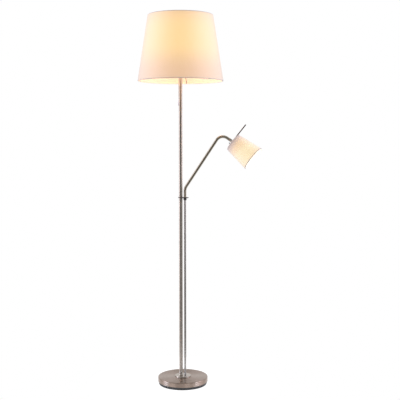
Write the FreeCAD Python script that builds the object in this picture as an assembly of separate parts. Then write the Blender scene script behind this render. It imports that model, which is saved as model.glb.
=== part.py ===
import FreeCAD, Part
import math
import os

# Floor lamp: an open fabric shade on a tall tube, and a reading lamp on a bent side arm.
# Sizes are in millimetres. The origin is the centre of the base on the floor, +Z is up,
# and the arm reaches along +X.

V = FreeCAD.Vector
UP = V(0, 0, 1)
ACROSS = V(0, 1, 0)

# General fits
RUNNING = 0.05
CLEARANCE = 0.3

# Base
BASE_R = 109.0
BASE_TOP = 32.0
BASE_EDGE_R = 3.0
SHEET = 1.2
COVER_LOW = 11.6
PAD_R = 104.0
PAD_HEIGHT = 3.0
WEIGHT_R = 105.5
WEIGHT_BODY_R = 103.0
WEIGHT_TOP = 20.0
WEIGHT_CHAMFER = 5.0
CLAMP_BOSS_R = 36.0
POCKET_R = 30.0
POCKET_TOP = 17.0
ESCUTCHEON_R = 35.0
ESCUTCHEON_HEIGHT = 4.0
INLET_BORE_R = 3.3
INLET_WALL = 1.7
INLET_Z = 8.2
INLET_INNER_Y = 88.0
INLET_LIP = 1.5

# Tubes
MAIN_X = -8.5
MAIN_R = 8.0
MAIN_BORE_R = 7.0
SUPPORT_X = 11.0
SUPPORT_R = 4.75
SUPPORT_BORE_R = 3.55
THREAD_R = 4.8
LOWER_JOINT_Z = 425.0
COLLAR_Z = 820.0
MAIN_TOP = 1388.0
COUPLER_HALF = 15.0
LEAD_BORE_R = 2.6
MAIN_LEAD_R = 2.0
READING_LEAD_R = 1.5
LEAD_Z = 6.4

# Collar plate
COLLAR_HEIGHT = 4.5
COLLAR_END_R = 11.0
COLLAR_SCREW_R = 1.5
BUSHING_R = 6.7
BUSHING_HEIGHT = 8.2

# Arm
ARM_R = 6.0
ARM_BORE_R = 4.8
ARM_LEAN = 34.3
ARM_CORNER_Z = 860.9
ARM_LOWER_BEND_R = 38.0
ARM_UPPER_BEND_R = 34.0
ARM_END_DIP = 33.4
PIVOT = V(218.5, 0, 1064.5)
SPIGOT_LOW = 782.0
SPIGOT_TOP = 846.0

# Knuckle, along the end of the arm with the pivot at zero
FORK_R = 6.4
FORK_FLAT = 5.2
FORK_SLOT = 2.8
FORK_SLOT_DEPTH = 7.5
FORK_LENGTH = 10.5
FORK_PLUG_LENGTH = 8.0
TONGUE_R = 5.9
TONGUE_HALF = 2.5
TONGUE_SIDE = 5.0
PIN_R = 2.0

# Reading head, along its own axis with the pivot at zero
HEAD_DIP = 37.9
HEAD_TOP = 8.6
ROD_R = 2.5
ROD_LENGTH = 93.0
ROD_ELEVATION = 50.8
ROD_OFFSET = 4.1
CAP_R = 20.0
CAP_HEIGHT = 21.5
STEM_LOW = 22.0
SWITCH_OFFSET = 14.2
SWITCH_AZIMUTH = -38.0
SWITCH_TRAVEL = 2.5
BUTTON_R = 1.75
BUTTON_TIP = -3.2
READING_SHADE_TOP_R = 40.0
READING_SHADE_MOUTH_R = 55.0
READING_SHADE_LENGTH = 113.0
READING_WALL = 1.0
READING_WIRE_R = 1.0
SMALL_BULB_R = 22.5
SMALL_BULB_LENGTH = 78.0
SMALL_BULB_CONTACT = 24.5

# Main lampholder and bulb
CUP_R = 16.5
CUP_TOP = 1416.0
HOLDER_TOP = 1456.0
HOLDER_SKIRT_R = 19.5
FITTER_Z = 1430.0
BULB_R = 30.0
BULB_LENGTH = 108.0
BULB_CONTACT_Z = 1421.5
CHAIN_OFFSET = V(-13.1, 13.8, 0)
EYELET_LOW = 1394.0
EYELET_TOP = 1412.0
EYELET_R = 2.8
EYELET_BORE_R = 2.1
BEAD_R = 1.6
BEAD_PITCH = 4.2
BOB_TOP = 1244.0
BOB_LENGTH = 28.0
BOB_R = 3.9

# Main shade
SHADE_TOP_Z = 1600.0
SHADE_LOW_Z = 1320.0
SHADE_TOP_R = 139.5
SHADE_LOW_R = 184.0
SHADE_WALL = 1.2
SHADE_WIRE_R = 1.4
STRUT_AZIMUTHS = (99.5, 219.5, 339.5)


def unit(vector):
    """The vector at length one."""
    return vector * (1.0 / vector.Length)


def cylinder(radius, z_low, z_high, x=0.0, y=0.0):
    """An upright round bar."""
    return Part.makeCylinder(radius, z_high - z_low, V(x, y, z_low), UP)


def tube(radius, bore, z_low, z_high, x=0.0, y=0.0):
    """An upright tube."""
    return cylinder(radius, z_low, z_high, x, y).cut(cylinder(bore, z_low - 1, z_high + 1, x, y))


def bar(start, end, radius):
    """A round bar from one point to another."""
    return Part.makeCylinder(radius, (end - start).Length, start, end - start)


def turned(path, x=0.0):
    """A piece turned about the upright axis at x.

    A step of the path is a point (radius, height), or an arc as a pair: a point on it and its end.
    """
    edges = []
    here = path[0]
    for step in path[1:] + path[:1]:
        arc = isinstance(step[0], tuple)
        end = step[1] if arc else step
        ends = [V(here[0], 0, here[1]), V(end[0], 0, end[1])]
        if arc:
            ends.insert(1, V(step[0][0], 0, step[0][1]))
            edges.append(Part.Arc(*ends).toShape())
        else:
            edges.append(Part.LineSegment(*ends).toShape())
        here = end
    piece = Part.Face(Part.Wire(edges)).revolve(V(0, 0, 0), UP, 360)
    if piece.Volume < 0:
        piece.reverse()
    piece.translate(V(x, 0, 0))
    return piece


def corner(radius, centre, angle):
    """A point on a round corner of a profile, at an angle from the outward direction."""
    turn = math.radians(angle)
    return (centre[0] + radius * math.cos(turn), centre[1] + radius * math.sin(turn))


def hexagon(across_flats, z_low, z_high, x=0.0):
    """An upright hexagonal bar."""
    reach = across_flats / math.sqrt(3)
    turns = [math.radians(60 * side) for side in range(7)]
    points = [V(x + reach * math.cos(turn), reach * math.sin(turn), z_low) for turn in turns]
    return Part.Face(Part.makePolygon(points)).extrude(V(0, 0, z_high - z_low))


def nut(across_flats, bore, z_low, z_high, x=0.0):
    """A hexagonal nut on an upright thread."""
    return hexagon(across_flats, z_low, z_high, x).cut(cylinder(bore, z_low - 1, z_high + 1, x))


def bent_path(points, bend_radii):
    """Straight runs joined by tangent arcs, with one radius for each corner."""
    edges = []
    here = points[0]
    for index, radius in enumerate(bend_radii):
        before, bend, after = points[index:index + 3]
        back = unit(before - bend)
        ahead = unit(after - bend)
        half_turn = (math.pi - back.getAngle(ahead)) / 2
        reach = radius * math.tan(half_turn)
        inward = unit(back + ahead)
        middle = bend + inward * (radius / math.cos(half_turn) - radius)
        arc_end = bend + ahead * reach
        edges.append(Part.LineSegment(here, bend + back * reach).toShape())
        edges.append(Part.Arc(bend + back * reach, middle, arc_end).toShape())
        here = arc_end
    edges.append(Part.LineSegment(here, points[-1]).toShape())
    return Part.Wire(edges)


def bent_bar(points, bend_radii, radius):
    """A round bar along a bent path."""
    section = Part.Wire(Part.makeCircle(radius, points[0], points[1] - points[0]))
    return bent_path(points, bend_radii).makePipeShell([section], True, False)


def fused(*pieces):
    """Several shapes as one solid."""
    return pieces[0].multiFuse(list(pieces[1:])).removeSplitter()


def placed(piece, frame):
    """The piece moved from its own frame to the lamp's."""
    piece.Placement = frame.multiply(piece.Placement)
    return piece


def cone_wall(z_low, z_high, r_low, r_high, thickness):
    """The wall of an open cone, its thickness measured inward."""
    height = z_high - z_low
    outer = Part.makeCone(r_low, r_high, height, V(0, 0, z_low), UP)
    inner = Part.makeCone(r_low - thickness, r_high - thickness, height, V(0, 0, z_low), UP)
    return outer.cut(inner)


def around(piece, azimuths):
    """Copies of a piece turned about the upright axis."""
    copies = []
    for azimuth in azimuths:
        copy = piece.copy()
        copy.rotate(V(0, 0, 0), UP, azimuth)
        copies.append(copy)
    return Part.makeCompound(copies)


def inlet_section(radius, y_low, y_high):
    """A tunnel along Y with a round top and straight sides down to the foot pad."""
    round_top = bar(V(0, y_low, INLET_Z), V(0, y_high, INLET_Z), radius)
    sides = Part.makeBox(2 * radius, y_high - y_low, INLET_Z - PAD_HEIGHT, V(-radius, y_low, PAD_HEIGHT))
    return fused(round_top, sides)


def base():
    """The foot pad, the weight, its cover, the cord bushing and what clamps the tubes."""
    inlet_r = INLET_BORE_R + INLET_WALL
    edge = (BASE_R - BASE_EDGE_R, BASE_TOP - BASE_EDGE_R)
    inner_edge_r = BASE_EDGE_R - SHEET
    cover = turned([
        (0, BASE_TOP),
        (edge[0], BASE_TOP),
        (corner(BASE_EDGE_R, edge, 45), (BASE_R, edge[1])),
        (BASE_R, COVER_LOW),
        (BASE_R - SHEET, COVER_LOW),
        (BASE_R - SHEET, edge[1]),
        (corner(inner_edge_r, edge, 45), (edge[0], BASE_TOP - SHEET)),
        (0, BASE_TOP - SHEET),
    ])
    weight = turned([
        (0, PAD_HEIGHT),
        (WEIGHT_R, PAD_HEIGHT),
        (WEIGHT_R, COVER_LOW),
        (WEIGHT_BODY_R, COVER_LOW),
        (WEIGHT_BODY_R, WEIGHT_TOP - WEIGHT_CHAMFER),
        (WEIGHT_BODY_R - WEIGHT_CHAMFER, WEIGHT_TOP),
        (CLAMP_BOSS_R, WEIGHT_TOP),
        (CLAMP_BOSS_R, BASE_TOP - SHEET),
        (0, BASE_TOP - SHEET),
    ])
    escutcheon_top = BASE_TOP + ESCUTCHEON_HEIGHT
    rim = (ESCUTCHEON_R - 1.5, escutcheon_top - 1.5)
    escutcheon = turned([
        (0, BASE_TOP),
        (ESCUTCHEON_R, BASE_TOP),
        (ESCUTCHEON_R, rim[1]),
        (corner(1.5, rim, 45), (rim[0], escutcheon_top)),
        (0, escutcheon_top),
    ])
    weight = weight.cut(cylinder(POCKET_R, PAD_HEIGHT, POCKET_TOP))
    weight = weight.cut(inlet_section(inlet_r + RUNNING, POCKET_R - 5, BASE_R))
    cover = cover.cut(inlet_section(inlet_r + RUNNING, INLET_INNER_Y, BASE_R + 1))
    nuts = []
    washers = []
    for x, radius in ((MAIN_X, THREAD_R), (SUPPORT_X, SUPPORT_R)):
        hole = cylinder(radius + RUNNING, PAD_HEIGHT, escutcheon_top + 1, x)
        cover = cover.cut(hole)
        weight = weight.cut(hole)
        escutcheon = escutcheon.cut(hole)
        washers.append(tube(9.0, radius + RUNNING, POCKET_TOP - 1.2, POCKET_TOP, x))
        nuts.append(nut(14.0, radius, POCKET_TOP - 5.2, POCKET_TOP - 1.2, x))
    bushing = inlet_section(inlet_r, INLET_INNER_Y, BASE_R + INLET_LIP)
    lip = inlet_section(inlet_r + 1.5, BASE_R - 8, BASE_R + INLET_LIP).cut(cylinder(BASE_R, 0, BASE_TOP))
    bore = bar(V(0, INLET_INNER_Y - 1, INLET_Z), V(0, BASE_R + 5, INLET_Z), INLET_BORE_R)
    return {
        "foot_pad": cylinder(PAD_R, 0, PAD_HEIGHT),
        "base_weight": weight,
        "base_cover": cover,
        "escutcheon": escutcheon,
        "base_nuts": Part.makeCompound(nuts),
        "base_washers": Part.makeCompound(washers),
        "cord_bushing": fused(bushing, lip).cut(bore),
    }


def leads():
    """The wires inside the tubes, from the splices in the base to the two lampholders."""
    caps = []
    pieces = {}
    ends = (
        ("main_lead", MAIN_X, MAIN_LEAD_R, MAIN_TOP + 12),
        ("reading_lead_lower", SUPPORT_X, READING_LEAD_R, SPIGOT_LOW - CLEARANCE),
    )
    for name, x, radius, top in ends:
        points = [V(x, 22, LEAD_Z), V(x, 0, LEAD_Z), V(x, 0, top)]
        pieces[name] = bent_bar(points, [5.0], radius)
        cap = bar(V(x, 10, LEAD_Z), V(x, 25, LEAD_Z), 3.2)
        caps.append(cap.cut(bar(V(x, 9, LEAD_Z), V(x, 22.5, LEAD_Z), radius + RUNNING)))
    pieces["splice_caps"] = Part.makeCompound(caps)
    return pieces


def tubes():
    """The three sections of the main tube, the two of the support tube and what screws them together."""
    floor = BASE_TOP + ESCUTCHEON_HEIGHT
    nut_low = POCKET_TOP - 5.2
    plug_r = MAIN_BORE_R - RUNNING
    foot_stud = fused(
        cylinder(plug_r, floor, floor + COUPLER_HALF, MAIN_X),
        cylinder(THREAD_R, nut_low - 1, floor + 1, MAIN_X),
    )
    top_stud = fused(
        cylinder(plug_r, MAIN_TOP - COUPLER_HALF, MAIN_TOP, MAIN_X),
        cylinder(THREAD_R, MAIN_TOP - 1, MAIN_TOP + 7, MAIN_X),
    )
    lead_way = cylinder(LEAD_BORE_R, 0, MAIN_TOP + 10, MAIN_X)
    couplers = [
        tube(plug_r, LEAD_BORE_R + 0.9, z - COUPLER_HALF, z + COUPLER_HALF, MAIN_X)
        for z in (LOWER_JOINT_Z, COLLAR_Z)
    ]
    support_plug_r = SUPPORT_BORE_R - RUNNING
    couplers.append(tube(support_plug_r, 2.2, LOWER_JOINT_Z - 20, LOWER_JOINT_Z + 20, SUPPORT_X))
    support_top = COLLAR_Z - COLLAR_HEIGHT / 2 - BUSHING_HEIGHT + 2
    return {
        "main_tube_studs": Part.makeCompound([foot_stud.cut(lead_way), top_stud.cut(lead_way)]),
        "main_tube_lower": tube(MAIN_R, MAIN_BORE_R, floor, LOWER_JOINT_Z, MAIN_X),
        "main_tube_middle": tube(MAIN_R, MAIN_BORE_R, LOWER_JOINT_Z, COLLAR_Z, MAIN_X),
        "main_tube_upper": tube(MAIN_R, MAIN_BORE_R, COLLAR_Z, MAIN_TOP, MAIN_X),
        "tube_couplers": Part.makeCompound(couplers),
        "support_tube_lower": tube(SUPPORT_R, SUPPORT_BORE_R, nut_low - 1, LOWER_JOINT_Z, SUPPORT_X),
        "support_tube_upper": tube(SUPPORT_R, SUPPORT_BORE_R, LOWER_JOINT_Z, support_top, SUPPORT_X),
    }


def collar():
    """The plate that ties the two tubes, its screws, and the bushing that the arm stands on."""
    low = COLLAR_Z - COLLAR_HEIGHT / 2
    high = COLLAR_Z + COLLAR_HEIGHT / 2
    length = SUPPORT_X - MAIN_X
    plate = fused(
        cylinder(COLLAR_END_R, low, high, MAIN_X),
        cylinder(COLLAR_END_R, low, high, SUPPORT_X),
        Part.makeBox(length, 2 * COLLAR_END_R, COLLAR_HEIGHT, V(MAIN_X, -COLLAR_END_R, low)),
    )
    rims = [edge for edge in plate.Edges if abs(edge.BoundBox.ZLength) < 0.01]
    plate = plate.makeChamfer(0.6, rims)
    left = MAIN_X - COLLAR_END_R
    right = SUPPORT_X + COLLAR_END_R
    main_wall = MAIN_X - MAIN_R - RUNNING
    arm_wall = SUPPORT_X + ARM_R + RUNNING
    plate = plate.cut(cylinder(MAIN_R + RUNNING, low - 1, high + 1, MAIN_X))
    plate = plate.cut(cylinder(ARM_R + RUNNING, low - 1, high + 1, SUPPORT_X))
    thread_r = COLLAR_SCREW_R + RUNNING
    plate = plate.cut(bar(V(left - 1, 0, COLLAR_Z), V(main_wall + 1, 0, COLLAR_Z), thread_r))
    plate = plate.cut(bar(V(arm_wall - 1, 0, COLLAR_Z), V(right + 1, 0, COLLAR_Z), thread_r))
    clamp_screw = bar(V(left + 0.3, 0, COLLAR_Z), V(main_wall, 0, COLLAR_Z), COLLAR_SCREW_R)
    clamp_screw = clamp_screw.cut(bar(V(left, 0, COLLAR_Z), V(left + 1.2, 0, COLLAR_Z), COLLAR_SCREW_R / 2))
    friction_screw = fused(
        Part.makeCone(2.3, 1.1, 5.5, V(right, 0, COLLAR_Z), V(1, 0, 0)),
        bar(V(arm_wall + CLEARANCE, 0, COLLAR_Z), V(right + 1, 0, COLLAR_Z), COLLAR_SCREW_R),
    )
    bushing = cylinder(BUSHING_R, low - BUSHING_HEIGHT, low, SUPPORT_X)
    bushing = bushing.cut(cylinder(SUPPORT_BORE_R, 0, low + 1, SUPPORT_X))
    bushing = bushing.cut(cylinder(SUPPORT_R + RUNNING, 0, low - BUSHING_HEIGHT + 2, SUPPORT_X))
    return {
        "collar_plate": plate,
        "collar_clamp_screw": clamp_screw,
        "arm_friction_screw": friction_screw,
        "arm_bushing": bushing,
    }


def direction(elevation):
    """The direction in the lamp's XZ plane at an elevation in degrees."""
    turn = math.radians(elevation)
    return V(math.cos(turn), 0, math.sin(turn))


def arm_route(start_z):
    """The corners of the arm's centre line, from its upright foot to the fork."""
    lean = direction(90 - ARM_LEAN)
    end = direction(-ARM_END_DIP)
    foot = V(SUPPORT_X, 0, ARM_CORNER_Z)
    offset = PIVOT - foot
    run = (offset.x * end.z - offset.z * end.x) / (lean.x * end.z - lean.z * end.x)
    return [V(SUPPORT_X, 0, start_z), foot, foot + lean * run, PIVOT - end * FORK_LENGTH]


def arm():
    """The bent arm, the stepped spigot that it turns on, and the fork with its plug and clamp screw."""
    bends = [ARM_LOWER_BEND_R, ARM_UPPER_BEND_R]
    foot_z = COLLAR_Z - COLLAR_HEIGHT / 2 + CLEARANCE
    route = arm_route(foot_z)
    skin = bent_bar(route, bends, ARM_R)
    hollow = bent_bar(route, bends, ARM_BORE_R)
    length = bent_path(route, bends).Length
    arm_tube = skin.cut(hollow)
    expected = math.pi * (ARM_R ** 2 - ARM_BORE_R ** 2) * length
    print("arm tube volume against its section times its length:", round(arm_tube.Volume / expected, 4))
    plug_r = ARM_BORE_R - RUNNING
    spigot = fused(
        cylinder(SUPPORT_BORE_R - RUNNING, SPIGOT_LOW, foot_z + 1, SUPPORT_X),
        cylinder(plug_r, foot_z, SPIGOT_TOP, SUPPORT_X),
    )
    spigot = spigot.cut(cylinder(2.2, SPIGOT_LOW - 1, SPIGOT_TOP + 1, SUPPORT_X))

    fork = fused(
        cylinder(FORK_R, -FORK_LENGTH, 0),
        Part.makeSphere(FORK_R),
    )
    slot = Part.makeBox(4 * FORK_R, 2 * FORK_SLOT, 4 * FORK_R, V(-2 * FORK_R, -FORK_SLOT, -FORK_SLOT_DEPTH))
    fork = fork.cut(slot)
    for side in (-1, 1):
        beyond = V(-2 * FORK_R, side * (FORK_FLAT + FORK_R) - FORK_R, -FORK_R)
        fork = fork.cut(Part.makeBox(4 * FORK_R, 2 * FORK_R, 4 * FORK_R, beyond))
    fork = fork.cut(bar(V(0, -2 * FORK_R, 0), V(0, 2 * FORK_R, 0), PIN_R + RUNNING))
    plug_end = -FORK_LENGTH - FORK_PLUG_LENGTH
    fork = fused(fork, cylinder(plug_r, plug_end, -FORK_LENGTH + 1))
    fork = fork.cut(cylinder(READING_LEAD_R + 0.3, plug_end - 1, 0))
    washer_out = FORK_FLAT + 0.8
    screw = fused(
        bar(V(0, -washer_out - 2.0, 0), V(0, -washer_out, 0), 3.4),
        bar(V(0, -washer_out - 1, 0), V(0, washer_out + 3.6, 0), PIN_R),
    )
    washers = []
    for side in (-1, 1):
        ring = bar(V(0, side * FORK_FLAT, 0), V(0, side * washer_out, 0), 4.2)
        washers.append(ring.cut(bar(V(0, -20, 0), V(0, 20, 0), PIN_R + RUNNING)))
    clamp_nut = nut(7.0, PIN_R, washer_out, washer_out + 3.2)
    clamp_nut.rotate(V(0, 0, 0), V(1, 0, 0), -90)
    frame = FreeCAD.Placement(PIVOT, FreeCAD.Rotation(ACROSS, 90 + ARM_END_DIP))

    lead = bent_bar(arm_route(SPIGOT_LOW)[:3] + [PIVOT - direction(-ARM_END_DIP) * FORK_SLOT_DEPTH],
                    bends, READING_LEAD_R)
    return {
        "arm_tube": arm_tube,
        "arm_spigot": spigot,
        "arm_fork": placed(fork, frame),
        "knuckle_screw": placed(screw, frame),
        "knuckle_washers": placed(Part.makeCompound(washers), frame),
        "knuckle_nut": placed(clamp_nut, frame),
        "reading_lead_arm": lead,
    }


def bulb(contact, length, radius, cap_r, cap_length, neck_r, neck_top):
    """A round bulb standing on its contact: the hollow glass and the screw cap under it."""
    wall = 0.8
    top = contact + length
    centre = (0, top - radius)
    glass_low = contact + cap_length - 2
    # The neck meets the globe at this angle below its widest place.
    shoulder = -38.0
    outer = corner(radius, centre, shoulder)
    inner = corner(radius - wall, centre, shoulder)
    flare_r = neck_r + 0.3 * (outer[0] - neck_r)
    flare_z = neck_top + 0.55 * (outer[1] - neck_top)
    glass = turned([
        (neck_r, glass_low),
        (neck_r, neck_top),
        ((flare_r, flare_z), outer),
        (corner(radius, centre, 26), (0, top)),
        (0, top - wall),
        (corner(radius - wall, centre, 26), inner),
        ((flare_r - wall, flare_z), (neck_r - wall, neck_top)),
        (neck_r - wall, glass_low),
    ])
    cap = turned([
        (0, contact),
        (cap_r * 0.35, contact),
        (cap_r * 0.45, contact + 2.0),
        (cap_r, contact + 5.5),
        (cap_r, contact + cap_length),
        (neck_r + RUNNING, contact + cap_length),
        (neck_r + RUNNING, contact + 7.5),
        (0, contact + 7.5),
    ])
    return glass, cap


def lampholder(low, shoulder, top, body_r, skirt_r, cavity_r, cavity_low):
    """A moulded lampholder: a body, a shoulder that carries a shade ring, and a threaded skirt."""
    holder = turned([
        (0, low),
        (body_r, low),
        (body_r, shoulder - 4),
        (skirt_r + 3, shoulder - 2),
        (skirt_r + 3, shoulder),
        (skirt_r, shoulder),
        (skirt_r, top),
        (cavity_r, top),
        (cavity_r, cavity_low),
        (0, cavity_low),
    ])
    shell = tube(cavity_r - RUNNING, cavity_r - 0.45, cavity_low + 5, top - 5)
    strip = Part.makeBox(cavity_r, 4, 0.5, V(-cavity_r / 2, -2, cavity_low + 0.02))
    return holder, Part.makeCompound([shell, strip])


def retaining_ring(bore, radius, low, height):
    """A threaded ring that clamps a shade's fitter on its lampholder."""
    blank = tube(radius - 3, bore, low, low + height)
    flange = tube(radius, bore, low, low + 2.2)
    ring = fused(blank, flange)
    grips = around(cylinder(1.2, low + 2.2, low + height + 1, radius - 2.4), range(0, 360, 20))
    return ring.cut(grips)


def fitter(ring_bore, ring_r, ring_z, thickness, rim_r, rim_z, wire_r, azimuths):
    """The ring of a shade's frame, and the struts from it to the shade's rim wire."""
    ring = tube(ring_r, ring_bore, ring_z, ring_z + thickness)
    middle = ring_z + thickness / 2
    strut = bar(V(ring_r - 0.3, 0, middle), V(rim_r, 0, rim_z), wire_r)
    struts = around(strut, azimuths).cut(cylinder(ring_r + RUNNING, ring_z - 9, ring_z + 9))
    return ring, struts


def main_lamp():
    """The cup, pull switch, lampholder and bulb on top of the main tube."""
    cup_low = MAIN_TOP
    flare = cup_low + 10
    wall = 0.8
    cup = turned([
        (THREAD_R + RUNNING, cup_low),
        (MAIN_R + 1, cup_low),
        ((14.5, cup_low + 4), (CUP_R, flare)),
        (CUP_R, CUP_TOP),
        (CUP_R - wall, CUP_TOP),
        (CUP_R - wall, flare),
        ((14.5 - wall, cup_low + 4.6), (MAIN_R, cup_low + wall)),
        (THREAD_R + RUNNING, cup_low + wall),
    ])
    switch_low = MAIN_TOP + 12
    switch = cylinder(13.0, switch_low, CUP_TOP - 1)

    chain = CHAIN_OFFSET
    outward = unit(chain)
    eyelet_z = (EYELET_LOW + EYELET_TOP) / 2 + 4
    stem = bar(outward * 13.5 + UP * eyelet_z, outward * (chain.Length - 1) + UP * eyelet_z, 2.2)
    eyelet = fused(cylinder(EYELET_R, EYELET_LOW, EYELET_TOP, chain.x, chain.y), stem)
    eyelet = eyelet.cut(cylinder(EYELET_BORE_R, 0, EYELET_TOP - 1.5, chain.x, chain.y))
    window = bar(outward * 8 + UP * eyelet_z, outward * 24 + UP * eyelet_z, 2.2 + RUNNING)
    cup = cup.cut(window)
    cup = cup.cut(cylinder(EYELET_R + RUNNING, EYELET_LOW - 1, EYELET_TOP + 1, chain.x, chain.y))

    holder, contacts = lampholder(
        CUP_TOP, FITTER_Z, HOLDER_TOP, CUP_R - 1.5, HOLDER_SKIRT_R, 13.9, BULB_CONTACT_Z - 1.5)
    glass, cap = bulb(BULB_CONTACT_Z, BULB_LENGTH, BULB_R, 13.2, 26.0, 12.0, HOLDER_TOP + 1)
    pieces = {
        "holder_nut": nut(13.0, THREAD_R, cup_low + wall, cup_low + wall + 3),
        "holder_cup": cup,
        "pull_switch": switch,
        "chain_eyelet": eyelet,
        "lampholder": holder,
        "lampholder_contacts": contacts,
        "shade_retaining_ring": retaining_ring(
            HOLDER_SKIRT_R + RUNNING, 27.0, FITTER_Z + 1.5 + RUNNING, 7.0),
        "main_bulb_glass": glass,
        "main_bulb_cap": cap,
    }
    for piece in pieces.values():
        piece.translate(V(MAIN_X, 0, 0))
    return pieces


def pull_chain():
    """The bead chain under the pull switch, and the bob at its end."""
    top = EYELET_TOP - 3
    count = int((top - BOB_TOP) / BEAD_PITCH)
    beads = [
        Part.makeSphere(BEAD_R, V(0, 0, top - BEAD_R - BEAD_PITCH * index))
        for index in range(count)
    ]
    chain = fused(cylinder(0.5, BOB_TOP, top - BEAD_R), *beads)
    low = BOB_TOP - BOB_LENGTH
    bob = turned([
        (0, low),
        (corner(BOB_R, (0, low + BOB_R), -45), (BOB_R, low + BOB_R)),
        ((BOB_R * 0.82, low + BOB_LENGTH * 0.55), (1.5, BOB_TOP - 2)),
        (1.5, BOB_TOP),
        (0, BOB_TOP),
    ])
    bob = bob.cut(cylinder(0.5 + RUNNING, BOB_TOP - 1, BOB_TOP + 1))
    place = CHAIN_OFFSET + V(MAIN_X, 0, 0)
    chain.translate(place)
    bob.translate(place)
    return {"pull_chain": chain, "pull_bob": bob}


def main_shade():
    """The large open shade: its wall, the wires at its rims, and the frame that carries it."""
    slope = (SHADE_TOP_R - SHADE_LOW_R) / (SHADE_TOP_Z - SHADE_LOW_Z)
    wires = []
    for z in (SHADE_LOW_Z + 2.5, SHADE_TOP_Z - 2.5):
        inner_r = SHADE_LOW_R + slope * (z - SHADE_LOW_Z) - SHADE_WALL
        wires.append(Part.makeTorus(inner_r - SHADE_WIRE_R - 0.25, SHADE_WIRE_R, V(0, 0, z), UP))
    rim_r = SHADE_LOW_R - SHADE_WALL - 2 * SHADE_WIRE_R - 1.0
    ring, struts = fitter(
        HOLDER_SKIRT_R + 0.1, 27.0, FITTER_Z, 1.5, rim_r, SHADE_LOW_Z + 2.8, SHADE_WIRE_R, STRUT_AZIMUTHS)
    pieces = {
        "main_shade": cone_wall(SHADE_LOW_Z, SHADE_TOP_Z, SHADE_LOW_R, SHADE_TOP_R, SHADE_WALL),
        "shade_fitter_ring": ring,
        "shade_fitter_struts": struts,
        "main_shade_wires": Part.makeCompound(wires),
    }
    for piece in pieces.values():
        piece.translate(V(MAIN_X, 0, 0))
    return pieces


def head_knuckle():
    """The tongue between the fork's ears, with the stem that carries the head and the rod's socket."""
    knuckle = fused(
        bar(V(0, -TONGUE_HALF, 0), V(0, TONGUE_HALF, 0), TONGUE_R),
        Part.makeBox(2 * TONGUE_SIDE, 2 * TONGUE_HALF, HEAD_TOP - 1, V(-TONGUE_SIDE, -TONGUE_HALF, 0)),
        cylinder(7.0, HEAD_TOP - 1.6, HEAD_TOP),
        cylinder(THREAD_R, HEAD_TOP - 1, STEM_LOW),
    )
    knuckle = knuckle.cut(bar(V(0, -9, 0), V(0, 9, 0), PIN_R + RUNNING))
    return knuckle.cut(cylinder(READING_LEAD_R + 0.2, HEAD_TOP, STEM_LOW + 1))


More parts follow.
